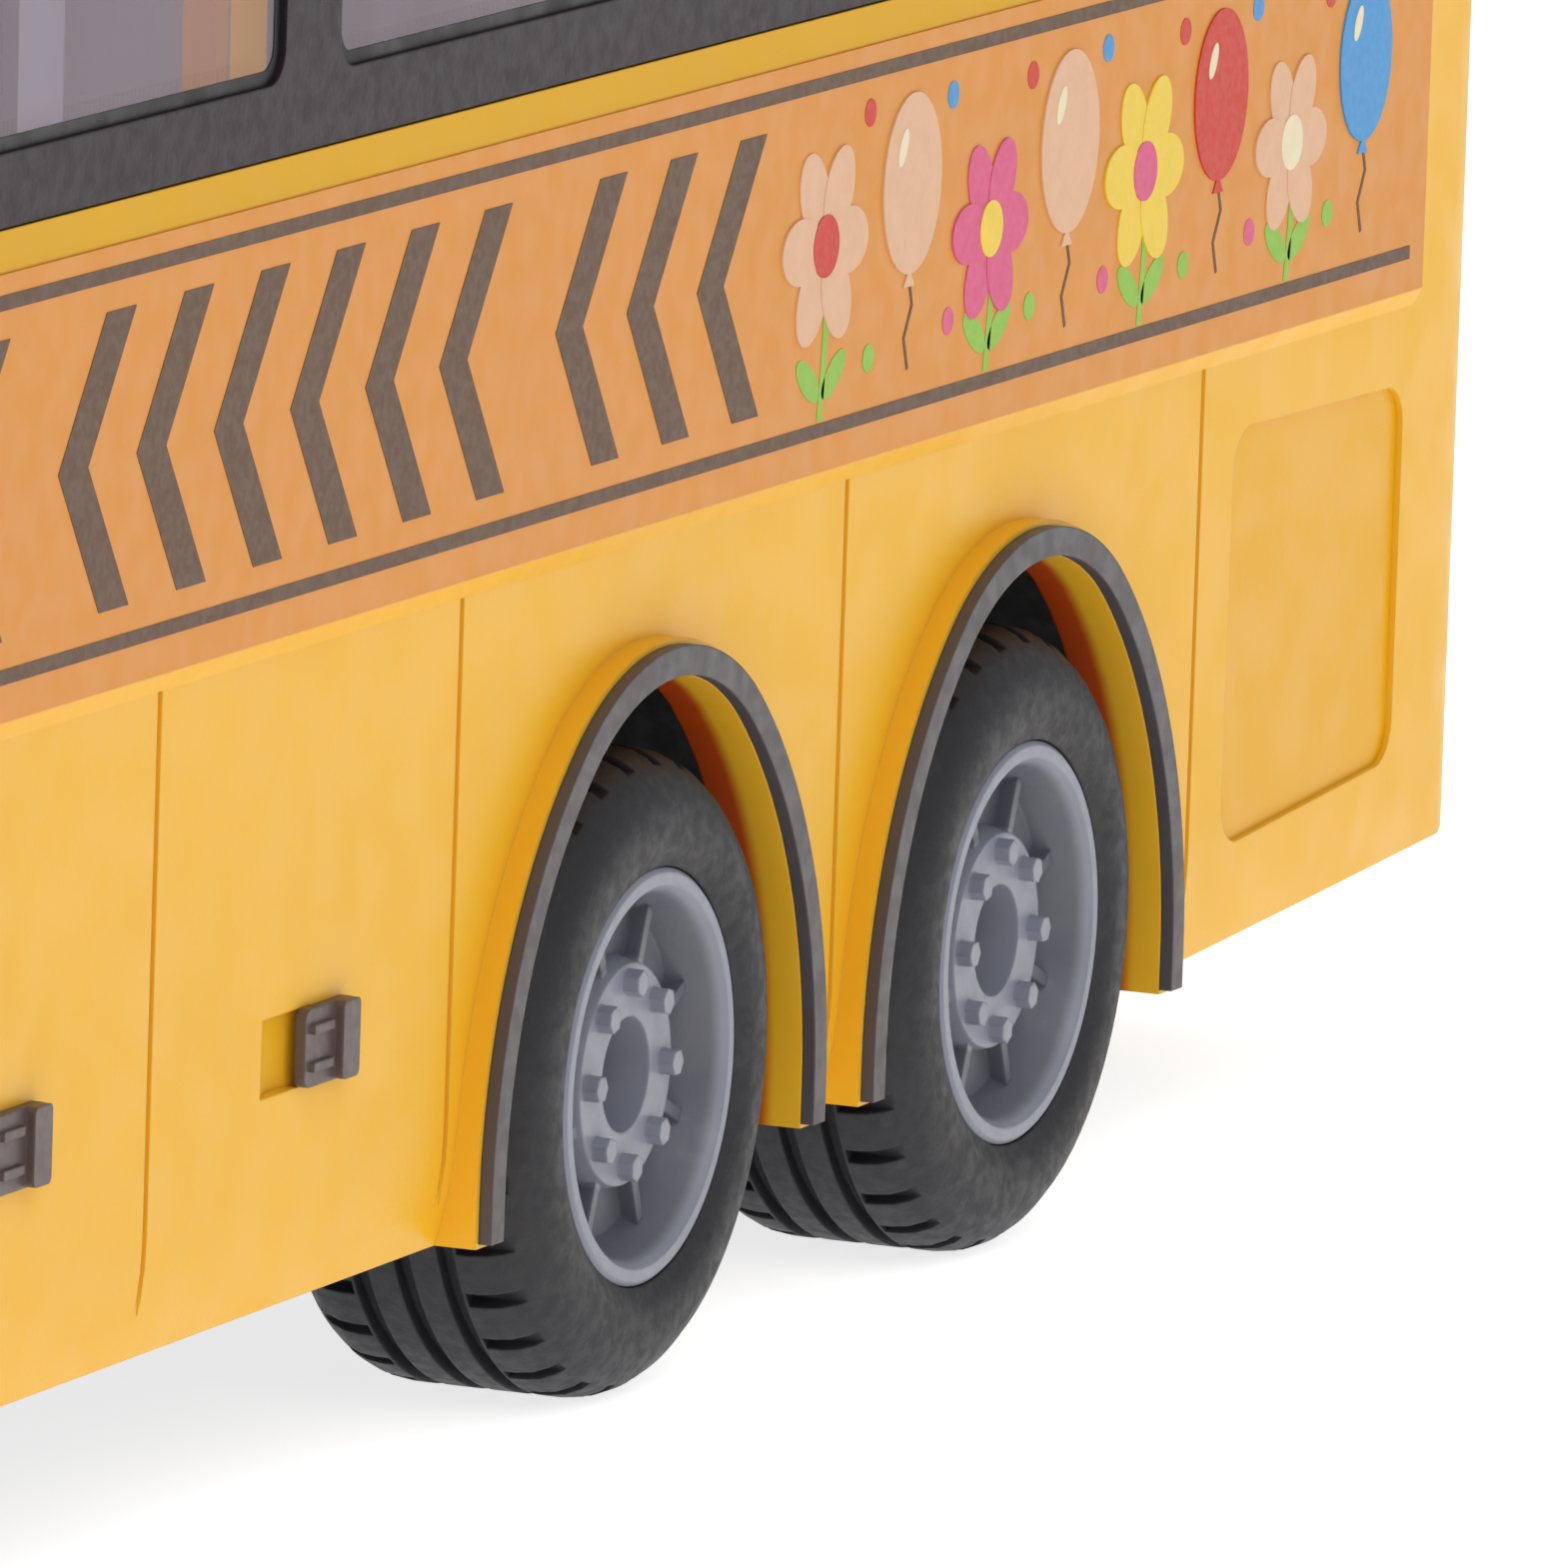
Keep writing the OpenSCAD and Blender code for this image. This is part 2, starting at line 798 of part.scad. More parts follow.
module mirror_arm(side) {
    root = [x_nose + 12, y_side - 0.2, roof_h - 22];
    elbow = [x_nose + 7, y_side + 6, roof_h - 20];
    drop = [x_nose + 6, y_side + 6.5, roof_h - 25];
    color(chassis_black)
        on_side(side) {
            intersection() {
                difference() {
                    body_solid(-1);
                    body_solid(-0.05);
                }
                slab(0, y_side + through)
                    translate([root[0], root[2]])
                        circle(2.8);
            }
            for (leg = [[root + [0, 1, 0], elbow], [elbow, drop]])
                hull()
                    for (p = leg)
                        translate(p)
                            sphere(0.9, $fn = 20);
            translate([x_nose + 4.4, y_side + 6.5, roof_h - 42])
                bar(0, 3.2)
                    rounded_box(-3.2, 0, 3.2, 17, 2);
        }
}

module wiper_outline() {
    translate([0, 47])
        circle(1.2);
    translate([0, 47])
        rotate(8)
            translate([0, -0.5])
                square([13, 1]);
    translate([2, 48.4])
        rotate(12)
            square([23, 0.9]);
}

module wipers() {
    color(chassis_black)
        nose_skin(-0.9, 0, 16) {
            translate([-28, 0])
                wiper_outline();
            translate([3, 0])
                wiper_outline();
        }
}

module arch_trim(x, side) {
    color(trim_grey)
        on_side(side)
            translate([x, 0, 0])
                slab(y_side + flare_proud, y_side + flare_proud + trim_t)
                    arch_ring(0, sill_h + 0.2);
}

module hatch_handles(side) {
    color(handle_grey)
        on_side(side)
            for (i = [1 : hatch_count])
                translate([hatch_x0 + i * hatch_w - handle_lead, 0, handle_h]) {
                    slab(y_side, y_side + handle_proud * 0.55)
                        rounded_box(-handle_len / 2, -handle_tall / 2, handle_len / 2, handle_tall / 2, 0.5);
                    slab(y_side, y_side + handle_proud)
                        rounded_box(0.1 * handle_len, -handle_tall / 2,
                            0.44 * handle_len, handle_tall / 2, 0.3);
                    for (z = [-0.3, 0.18])
                        slab(y_side, y_side + handle_proud * 0.8)
                            translate([-0.4 * handle_len, z * handle_tall])
                                square([0.4 * handle_len, 0.12 * handle_tall]);
                }
}

module side_decal(side) {
    color(film_orange)
        on_side(side)
            slab(y_side + band_proud, y_side + band_proud + film_t)
                translate([0, film_z0])
                    square_between(band_x0 + 1, band_x1 - 1, film_z1 - film_z0);
}

module square_between(x0, x1, tall) {
    translate([x0, 0])
        square([x1 - x0, tall]);
}

module wheel_well(x, r, y0) {
    translate([x, 0, 0])
        slab(y0, well_y1)
            difference() {
                translate([0, axle_z])
                    circle(r + well_t);
                translate([0, axle_z])
                    circle(r);
                translate([-2 * r, -2 * r])
                    square([4 * r, 2 * r + chassis_z]);
            }
}

module well_wall(x) {
    translate([x, 0, 0])
        slab(well_y0 - well_t, well_y0 + sink)
            difference() {
                translate([0, axle_z])
                    circle(well_r + well_t);
                translate([-2 * well_r, -2 * well_r])
                    square([4 * well_r, 2 * well_r + chassis_z]);
            }
    translate([x, well_y0 - 3, axle_z])
        rotate([-90, 0, 0])
            cylinder(r = 4, h = 3);
}

module chassis_profile() {
    x0 = x_nose + 6;
    x1 = x_tail - 6;
    polygon([
        [x0, chassis_z], [tail_bend_x, chassis_z], [x1, chassis_z + floor_lift(x1)],
        [x1, floor_z + floor_lift(x1)], [tail_bend_x, floor_z], [x0, floor_z]
    ]);
}

module floor_plate() {
    difference() {
        intersection() {
            level(0, roof_h)
                plan(wall + fit);
            slab(-y_side, y_side)
                chassis_profile();
        }
        for (s = [-1, 1])
            on_side(s) {
                for (x = [x_drive, x_tag])
                    translate([x - well_r, well_y0, 0])
                        cube([2 * well_r, body_w, floor_z + through]);
                difference() {
                    translate([x_steer - steer_well_r, pivot_y - 1.6, 0])
                        cube([2 * steer_well_r, body_w, floor_z + through]);
                    translate([x_steer - 4, 0, 0])
                        cube([8, pivot_y + 2.6, floor_z + through]);
                }
            }
    }
}

module pivot_bracket() {
    translate([x_steer - 4, pivot_y - 6.5, floor_z - sink])
        cube([8, 2.5, lug_z + lug_t - floor_z + sink]);
    translate([x_steer - 4, pivot_y - 6.5, lug_z])
        cube([8, 9.1, lug_t]);
}

module bay_walls() {
    difference() {
        level(chassis_z, bay_top)
            translate([bay_x - bay_half - bay_t, -bay_y - bay_t])
                square([2 * (bay_half + bay_t), 2 * (bay_y + bay_t)]);
        level(chassis_z - 1, bay_top + 1)
            translate([bay_x - bay_half, -bay_y])
                square([2 * bay_half, 2 * bay_y]);
    }
}

module chassis_pan() {
    color(chassis_black)
        difference() {
            union() {
                difference() {
                    floor_plate();
                    level(0, floor_z + through)
                        translate([bay_x - bay_half, -bay_y])
                            square([2 * bay_half, 2 * bay_y]);
                }
                bay_walls();
                for (s = [-1, 1])
                    on_side(s) {
                        wheel_well(x_drive, well_r, well_y0);
                        wheel_well(x_tag, well_r, well_y0);
                        well_wall(x_drive);
                        well_wall(x_tag);
                        wheel_well(x_steer, steer_well_r, pivot_y + 6);
                        pivot_bracket();
                    }
                translate([cover_screw_x, 0, chassis_z + cover_t + fit])
                    cylinder(r = 3.4, h = 8);
                translate([cover_screw_x, -2.4, chassis_z + cover_t + fit])
                    cube([bay_x + bay_half + sink - cover_screw_x, 4.8, 8]);
            }
            for (x = [x_drive, x_tag])
                translate([x, 0, axle_z])
                    rotate([90, 0, 0])
                        cylinder(r = axle_r + run_fit, h = 2 * body_w, center = true);
            for (s = [-1, 1])
                translate([x_steer, s * pivot_y, 0])
                    cylinder(r = 1.2 + run_fit, h = lug_z + lug_t + 1);
            translate([x_drive - 6.5, slow_y1 - gear_t - 0.6, 0])
                cube([13, gear_t + 1.2, floor_z + 1]);
            translate([switch_x - 2.8 - play, -1.8 - play, 0])
                cube([5.6 + switch_travel + 2 * play, 3.6 + 2 * play, floor_z + 1]);
            for (x = screw_x)
                for (s = [-1, 1])
                    translate([x, s * screw_y, chassis_z + floor_lift(x)]) {
                        translate([0, 0, -1])
                            cylinder(r = 1.5, h = 8);
                        translate([0, 0, -1])
                            cylinder(r = 2.4, h = 2);
                    }
            translate([cover_screw_x, 0, chassis_z])
                cylinder(r = 1, h = 7);
        }
}

module seat() {
    slab(8, 33)
        rounded(
            [[0, 0], [13, 0], [14, 4], [17.5, 21], [14, 22], [11, 8], [0, 7.5]],
            [0, 0, 0, 1, 1, 0, 1.5]
        );
}

module seat_deck() {
    deck_x0 = frame_x0 + 4;
    deck_x1 = frame_x1 - 4;
    rows = floor((deck_x1 - deck_x0 - 30) / 27);
    color(seat_grey) {
        level(deck_z, deck_z + 1.6)
            translate([deck_x0, -y_side + wall + play])
                square([deck_x1 - deck_x0, body_w - 2 * (wall + play)]);
        for (s = [-1, 1])
            on_side(s)
                for (i = [0 : rows - 1])
                    translate([deck_x0 + 24 + i * 27, 0, deck_z + 1.2])
                        seat();
    }
}

module circuit_board() {
    color(board_green)
        translate([bay_x, 0, bay_top]) {
            translate([-bay_half - 1, -bay_y - 1, 0])
                cube([2 * bay_half + 2, 2 * bay_y + 2, 1.4]);
            translate([-16, -5, 1.2])
                cube([12, 12, 1.4]);
            translate([8, 4, 1.2])
                cylinder(r = 3, h = 7);
            translate([18, -8, 1.2])
                cube([6, 9, 5]);
        }
}

module battery_pack() {
    color(cell_blue) {
        for (s = [-1, 1])
            translate([cell_x - cell_len / 2, s * (cell_r + 0.1), cell_z])
                rotate([0, 90, 0])
                    cylinder(r = cell_r, h = cell_len);
        translate([cell_x - cell_len / 2, -2, cell_z - 2])
            cube([cell_len, 4, 4]);
    }
}

module battery_cover() {
    color(chassis_black)
        difference() {
            level(chassis_z, chassis_z + cover_t)
                rounded_box(bay_x - bay_half + fit, -bay_y + fit, bay_x + bay_half - fit, bay_y - fit, 1);
            translate([cover_screw_x, 0, chassis_z - 1]) {
                cylinder(r = 1.4, h = 5);
                cylinder(r = 2.3, h = 1.9);
            }
            for (i = [-2 : 2])
                translate([bay_x - bay_half + 8 + i * 1.8, -6, chassis_z - 1])
                    cube([0.9, 12, 1.4]);
        }
}

module screw(head_r, shank_r, shank) {
    difference() {
        union() {
            cylinder(r = head_r, h = 0.7);
            cylinder(r = shank_r, h = shank);
        }
        for (a = [0, 90])
            rotate(a)
                translate([-head_r * 0.6, -0.25, -0.1])
                    cube([head_r * 1.2, 0.5, 0.5]);
    }
}

module battery_cover_screw() {
    color(steel)
        translate([cover_screw_x, 0, chassis_z + 0.2])
            screw(2.1, 0.95, 6.2);
}

module chassis_screws() {
    color(steel)
        for (x = screw_x)
            for (s = [-1, 1])
                translate([x, s * screw_y, chassis_z + floor_lift(x) + 0.3])
                    screw(2.2, 1.15, 12);
}

module power_switch() {
    color(chassis_black)
        translate([switch_x, 0, 0]) {
            translate([-2.8, -1.8, chassis_z + 0.3])
                cube([5.6, 3.6, floor_t + 1.4]);
            for (i = [-1 : 1])
                translate([i * 1.6 - 0.3, -1.8, chassis_z + 0.05])
                    cube([0.6, 3.6, 0.6]);
            translate([-6, -3.4, floor_z + play])
                cube([12, 6.8, 1.2]);
        }
}

function inv(a) = tan(a) * 180 / PI - a;
function tooth_half(r, teeth) =
    let (rp = gear_module * teeth / 2, rb = rp * cos(pressure))
    90 / teeth - tooth_thin / rp * 90 / PI + inv(pressure) - inv(acos(rb / max(r, rb)));
function tooth(teeth) =
    let (
        rp = gear_module * teeth / 2,
        low = max(rp * cos(pressure), rp - root_share * gear_module),
        top = rp + tip_share * gear_module,
        radii = [rp - root_share * gear_module, for (k = [0 : 3]) low + (top - low) * k / 3]
    )
    [
        for (k = [0 : 4]) [radii[k], -tooth_half(radii[k], teeth)],
        for (k = [4 : -1 : 0]) [radii[k], tooth_half(radii[k], teeth)]
    ];

module gear(teeth, turn) {
    polygon([
        for (i = [0 : teeth - 1])
            for (p = tooth(teeth))
                p[0] * [cos(turn + 360 * i / teeth + p[1]), sin(turn + 360 * i / teeth + p[1])]
    ]);
}

module at_gear(at) {
    translate([at[0], 0, at[1]])
        children();
}

module gearbox_outline() {
    back = motor_at[0] - motor_w / 2 - 1;
    rounded(
        [[back, floor_z], [x_drive + 4.5, floor_z], [x_drive + 4.5, axle_z + 5],
            [red_at[0] + 5, red_at[1] + 9], [back, motor_at[1] + 7]],
        [0, 0, 2, 2, 2]
    );
}

module gearbox_frame() {
    color(gear_white)
        difference() {
            union() {
                slab(plate_y, plate_y + plate_t)
                    gearbox_outline();
                slab(far_plate_y, far_plate_y + plate_t)
                    gearbox_outline();
                translate([motor_at[0] - motor_w / 2 - 1, far_plate_y + sink, floor_z])
                    cube([7, plate_y - far_plate_y, 1.4]);
            }
            translate([x_drive, 0, axle_z])
                rotate([90, 0, 0])
                    cylinder(r = axle_r + run_fit, h = body_w, center = true);
            at_gear(red_at)
                rotate([90, 0, 0])
                    cylinder(r = pin_r, h = body_w, center = true);
            at_gear(motor_at)
                rotate([90, 0, 0])
                    cylinder(r = 3.1, h = body_w, center = true);
        }
}

module drive_motor() {
    color(steel)
        difference() {
            union() {
                at_gear(motor_at)
                    slab(plate_y + plate_t, plate_y + plate_t + motor_len)
                        intersection() {
                            circle(motor_w / 2);
                            translate([-motor_w / 2, -motor_flat / 2])
                                square([motor_w, motor_flat]);
                        }
                at_gear(motor_at)
                    slab(plate_y + 0.4, plate_y + plate_t + sink)
                        circle(3);
            }
            at_gear(motor_at)
                slab(plate_y - 1, plate_y + 8)
                    circle(pin_r + run_fit);
        }
}

module reduction_shaft() {
    color(steel)
        at_gear(red_at)
            slab(far_plate_y, plate_y + plate_t - play)
                circle(pin_r);
}

module motor_pinion() {
    color(gear_white)
        at_gear(motor_at) {
            slab(fast_y1 - gear_t, fast_y1)
                gear(pinion_teeth, motor_angle + 180 + 180 / pinion_teeth);
            slab(fast_y1 - gear_t, plate_y + 7)
                circle(pin_r);
        }
}

module reduction_gear() {
    color(gear_white)
        difference() {
            at_gear(red_at) {
                slab(fast_y1 - gear_t, fast_y1)
                    gear(wheel_teeth, motor_angle);
                slab(slow_y1 - gear_t, fast_y1 - gear_t / 2)
                    gear(pinion_teeth, red_angle + 180 + 180 / pinion_teeth);
            }
            at_gear(red_at)
                slab(-body_w, body_w)
                    circle(pin_r + run_fit);
        }
}

module axle_rod(x) {
    color(steel)
        translate([x, 0, axle_z])
            rotate([90, 0, 0])
                cylinder(r = axle_r, h = 2 * axle_end, center = true);
}

module axle_gear() {
    color(gear_white)
        translate([x_drive, 0, axle_z])
            slab(slow_y1 - gear_t, slow_y1)
                difference() {
                    gear(axle_teeth, red_angle);
                    circle(axle_r);
                }
}

// Stands a turned piece on its wheel, with its own Z pointing out of the bus
module at_wheel(x, side) {
    translate([x, side * y_lip, axle_z])
        rotate([-90 * side, 0, 0])
            children();
}

module rim(x, side, bore_r) {
    color(rim_grey)
        at_wheel(x, side) {
            rotate_extrude()
                polygon([
                    [bore_r, -hub_len], [hub_boss_r, -hub_len], [hub_boss_r, -web_back],
                    [seat_r - 1.3, -web_back], [seat_r - 1.3, -rim_w], [rim_r, -rim_w],
                    [rim_r, flange_t - rim_w], [seat_r, flange_t - rim_w], [seat_r, -flange_t],
                    [rim_r, -flange_t], [rim_r, -0.2], [rim_r - 0.2, 0], [rim_r - lip_w, 0],
                    [rim_r - lip_w - 0.25, -0.35], [dish_r, -dish_d], [hub_r + 0.3, -dish_d],
                    [hub_r, -hub_face], [recess_r, -hub_face], [recess_r, -recess_d], [bore_r, -recess_d]
                ]);
            for (i = [0 : nut_count - 1])
                rotate(i * 360 / nut_count) {
                    translate([nut_circle_r, 0, -hub_face - sink])
                        cylinder(r = 0.6, h = sink + 0.7, $fn = 6);
                    rotate(180 / nut_count)
                        translate([hub_r, -0.3, -dish_d - sink])
                            cube([rim_r - lip_w - hub_r - 0.9, 0.6, sink + 0.8]);
                }
        }
}

module tyre_section() {
    bead = rim_r + bead_gap;
    inner = bulge - tyre_w;
    turn_r = tyre_r - shoulder_r;
    difference() {
        polygon([
            [seat_r + bead_gap, -flange_t - bead_gap], [bead, -flange_t - bead_gap], [bead, -0.1],
            [bead + 1, bulge],
            each arc([turn_r, bulge - shoulder_r], shoulder_r, 90, 0, 6),
            each arc([turn_r, inner + shoulder_r], shoulder_r, 0, -90, 6),
            [bead + 1, inner],
            [bead, inner + 0.6], [bead, flange_t - rim_w + bead_gap],
            [seat_r + bead_gap, flange_t - rim_w + bead_gap]
        ]);
        for (k = [-1, 0, 1])
            translate([tyre_r - groove_d, (bulge + inner) / 2 + k * tyre_w * 0.17 - groove_w / 2])
                square([through, groove_w]);
    }
}

module tyre(x, side) {
    color(tyre_black)
        at_wheel(x, side)
            difference() {
                rotate_extrude()
                    tyre_section();
                for (i = [0 : notch_count - 1])
                    rotate(i * 360 / notch_count)
                        for (z = [bulge - shoulder_r - 0.6, bulge - tyre_w - through + shoulder_r + 0.6])
                            translate([tyre_r - groove_d, -groove_w / 2, z])
                                cube([through, groove_w, through]);
            }
}

module knuckle(side) {
    color(chassis_black)
        on_side(side)
            translate([x_steer, pivot_y, 0]) {
                level(knuckle_z0, knuckle_z1)
                    circle(knuckle_r);
                level(chassis_z + 0.3, lug_z + lug_t - 0.3)
                    circle(1.2);
                translate([0, 0, axle_z])
                    rotate([-90, 0, 0])
                        cylinder(r = axle_r, h = axle_end - pivot_y);
                level(knuckle_z0, knuckle_z0 + arm_t)
                    translate([0, -1.8])
                        square([steer_arm, 3.6]);
                level(knuckle_z0, knuckle_z0 + arm_t)
                    translate([steer_arm, 0])
                        circle(1.8);
                level(knuckle_z0, rod_z + rod_t - 0.2)
                    translate([steer_arm, 0])
                        circle(pin_r);
            }
}

module pin_slot(half_w, half_len) {
    square([2 * half_len, 2 * half_w], center = true);
}

module tie_rod() {
    color(chassis_black)
        translate([rod_x, 0, 0])
            level(rod_z, rod_z + rod_t)
                difference() {
                    square([5.4, 2 * pivot_y + 4.4], center = true);
                    for (s = [-1, 1])
                        translate([0, s * pivot_y])
                            pin_slot(pin_r + 0.15, pin_r + 0.85);
                    pin_slot(pin_r + 0.15, pin_r + 0.7);
                }
}

module servo_arm() {
    color(gear_white)
        translate([servo_x, 0, 0]) {
            level(servo_arm_z, servo_arm_z + arm_t) {
                circle(2.6);
                translate([-servo_arm_len, -1.7])
                    square([servo_arm_len, 3.4]);
                translate([-servo_arm_len, 0])
                    circle(1.7);
            }
            level(rod_z + 0.2, servo_arm_z + sink)
                translate([-servo_arm_len, 0])
                    circle(pin_r);
            level(servo_arm_z, servo_z + 4)
                circle(axle_r);
        }
}

module steering_servo() {
    color(chassis_black)
        difference() {
            slab(-10, 10)
                rounded(
                    [[servo_x - 5, servo_z], [servo_x + 5, servo_z], [servo_x + 5, floor_z],
                        [servo_end, floor_z], [servo_end, servo_z + 15], [servo_x - 5, servo_z + 15]],
                    [0, 0, 0, 0, 1, 1]
                );
            translate([servo_x, 0, servo_z - 1])
                cylinder(r = axle_r + run_fit, h = 7);
        }
}

body_shell();
chassis_pan();
window_frame(-1);  // window_frame_left
window_frame(1);  // window_frame_right
window_panes(-1);  // window_panes_left
window_panes(1);  // window_panes_right
windscreen();
rear_window();
front_grille();
headlight_lenses();
headlight_reflectors();
headlight_leds();
tail_lights();
mirror_arm(-1);  // mirror_left
mirror_arm(1);  // mirror_right
wipers();
arch_trim(x_steer, -1);  // arch_trim_front_left
arch_trim(x_steer, 1);  // arch_trim_front_right
arch_trim(x_drive, -1);  // arch_trim_drive_left
arch_trim(x_drive, 1);  // arch_trim_drive_right
arch_trim(x_tag, -1);  // arch_trim_tag_left
arch_trim(x_tag, 1);  // arch_trim_tag_right
hatch_handles(-1);  // hatch_handles_left
hatch_handles(1);  // hatch_handles_right
side_decal(-1);  // side_decal_left
side_decal(1);  // side_decal_right
seat_deck();
circuit_board();
battery_pack();
battery_cover();
battery_cover_screw();
chassis_screws();
power_switch();
gearbox_frame();
drive_motor();
reduction_shaft();
motor_pinion();
reduction_gear();
axle_rod(x_drive);  // drive_axle
axle_gear();
axle_rod(x_tag);  // tag_axle
rim(x_drive, -1, axle_r);  // rim_drive_left
rim(x_drive, 1, axle_r);  // rim_drive_right
tyre(x_drive, -1);  // tyre_drive_left
tyre(x_drive, 1);  // tyre_drive_right
rim(x_tag, -1, axle_r);  // rim_tag_left
rim(x_tag, 1, axle_r);  // rim_tag_right
tyre(x_tag, -1);  // tyre_tag_left
tyre(x_tag, 1);  // tyre_tag_right
steering_servo();
servo_arm();
tie_rod();
knuckle(-1);  // knuckle_left
knuckle(1);  // knuckle_right
rim(x_steer, -1, axle_r + run_fit);  // rim_front_left
rim(x_steer, 1, axle_r + run_fit);  // rim_front_right
tyre(x_steer, -1);  // tyre_front_left
tyre(x_steer, 1);  // tyre_front_right
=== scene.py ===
"""Looks of a battery-driven toy coach, built round its packed construction."""

import logging
import math
from dataclasses import dataclass, field
from enum import Enum
from typing import Sequence

import bmesh
import bpy
from mathutils import Matrix, Vector


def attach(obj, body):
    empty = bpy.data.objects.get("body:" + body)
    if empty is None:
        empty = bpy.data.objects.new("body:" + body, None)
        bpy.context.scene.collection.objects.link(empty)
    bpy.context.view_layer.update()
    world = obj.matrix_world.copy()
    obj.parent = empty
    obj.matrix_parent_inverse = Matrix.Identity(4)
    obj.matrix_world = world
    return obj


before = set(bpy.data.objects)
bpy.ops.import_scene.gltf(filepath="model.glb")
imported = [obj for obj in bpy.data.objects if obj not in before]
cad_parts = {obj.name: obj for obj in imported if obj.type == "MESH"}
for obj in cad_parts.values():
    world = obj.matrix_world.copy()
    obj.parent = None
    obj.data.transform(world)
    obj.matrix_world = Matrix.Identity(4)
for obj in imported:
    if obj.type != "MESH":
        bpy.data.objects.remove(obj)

LOG = logging.getLogger("toy_coach")
MM = 0.001
WELD_MM = 0.002
BEVEL_SAMPLES = 4
NOISE_LOW, NOISE_HIGH = 0.3, 0.7

Colour = tuple[float, float, float]
Point = tuple[float, float]
Outline = list[Point]


class Side(Enum):
    """Side of the coach, as the sign of its Y."""

    LEFT = -1
    RIGHT = 1

    @property
    def word(self) -> str:
        """Returns the side's word as used in node names."""
        return self.name.lower()


class Axle(Enum):
    """Axles of the coach, with their distance along X in millimetres."""

    FRONT = -97.5
    DRIVE = 62.5
    TAG = 103.2

    @property
    def word(self) -> str:
        """Returns the axle's word as used in node names."""
        return self.name.lower()


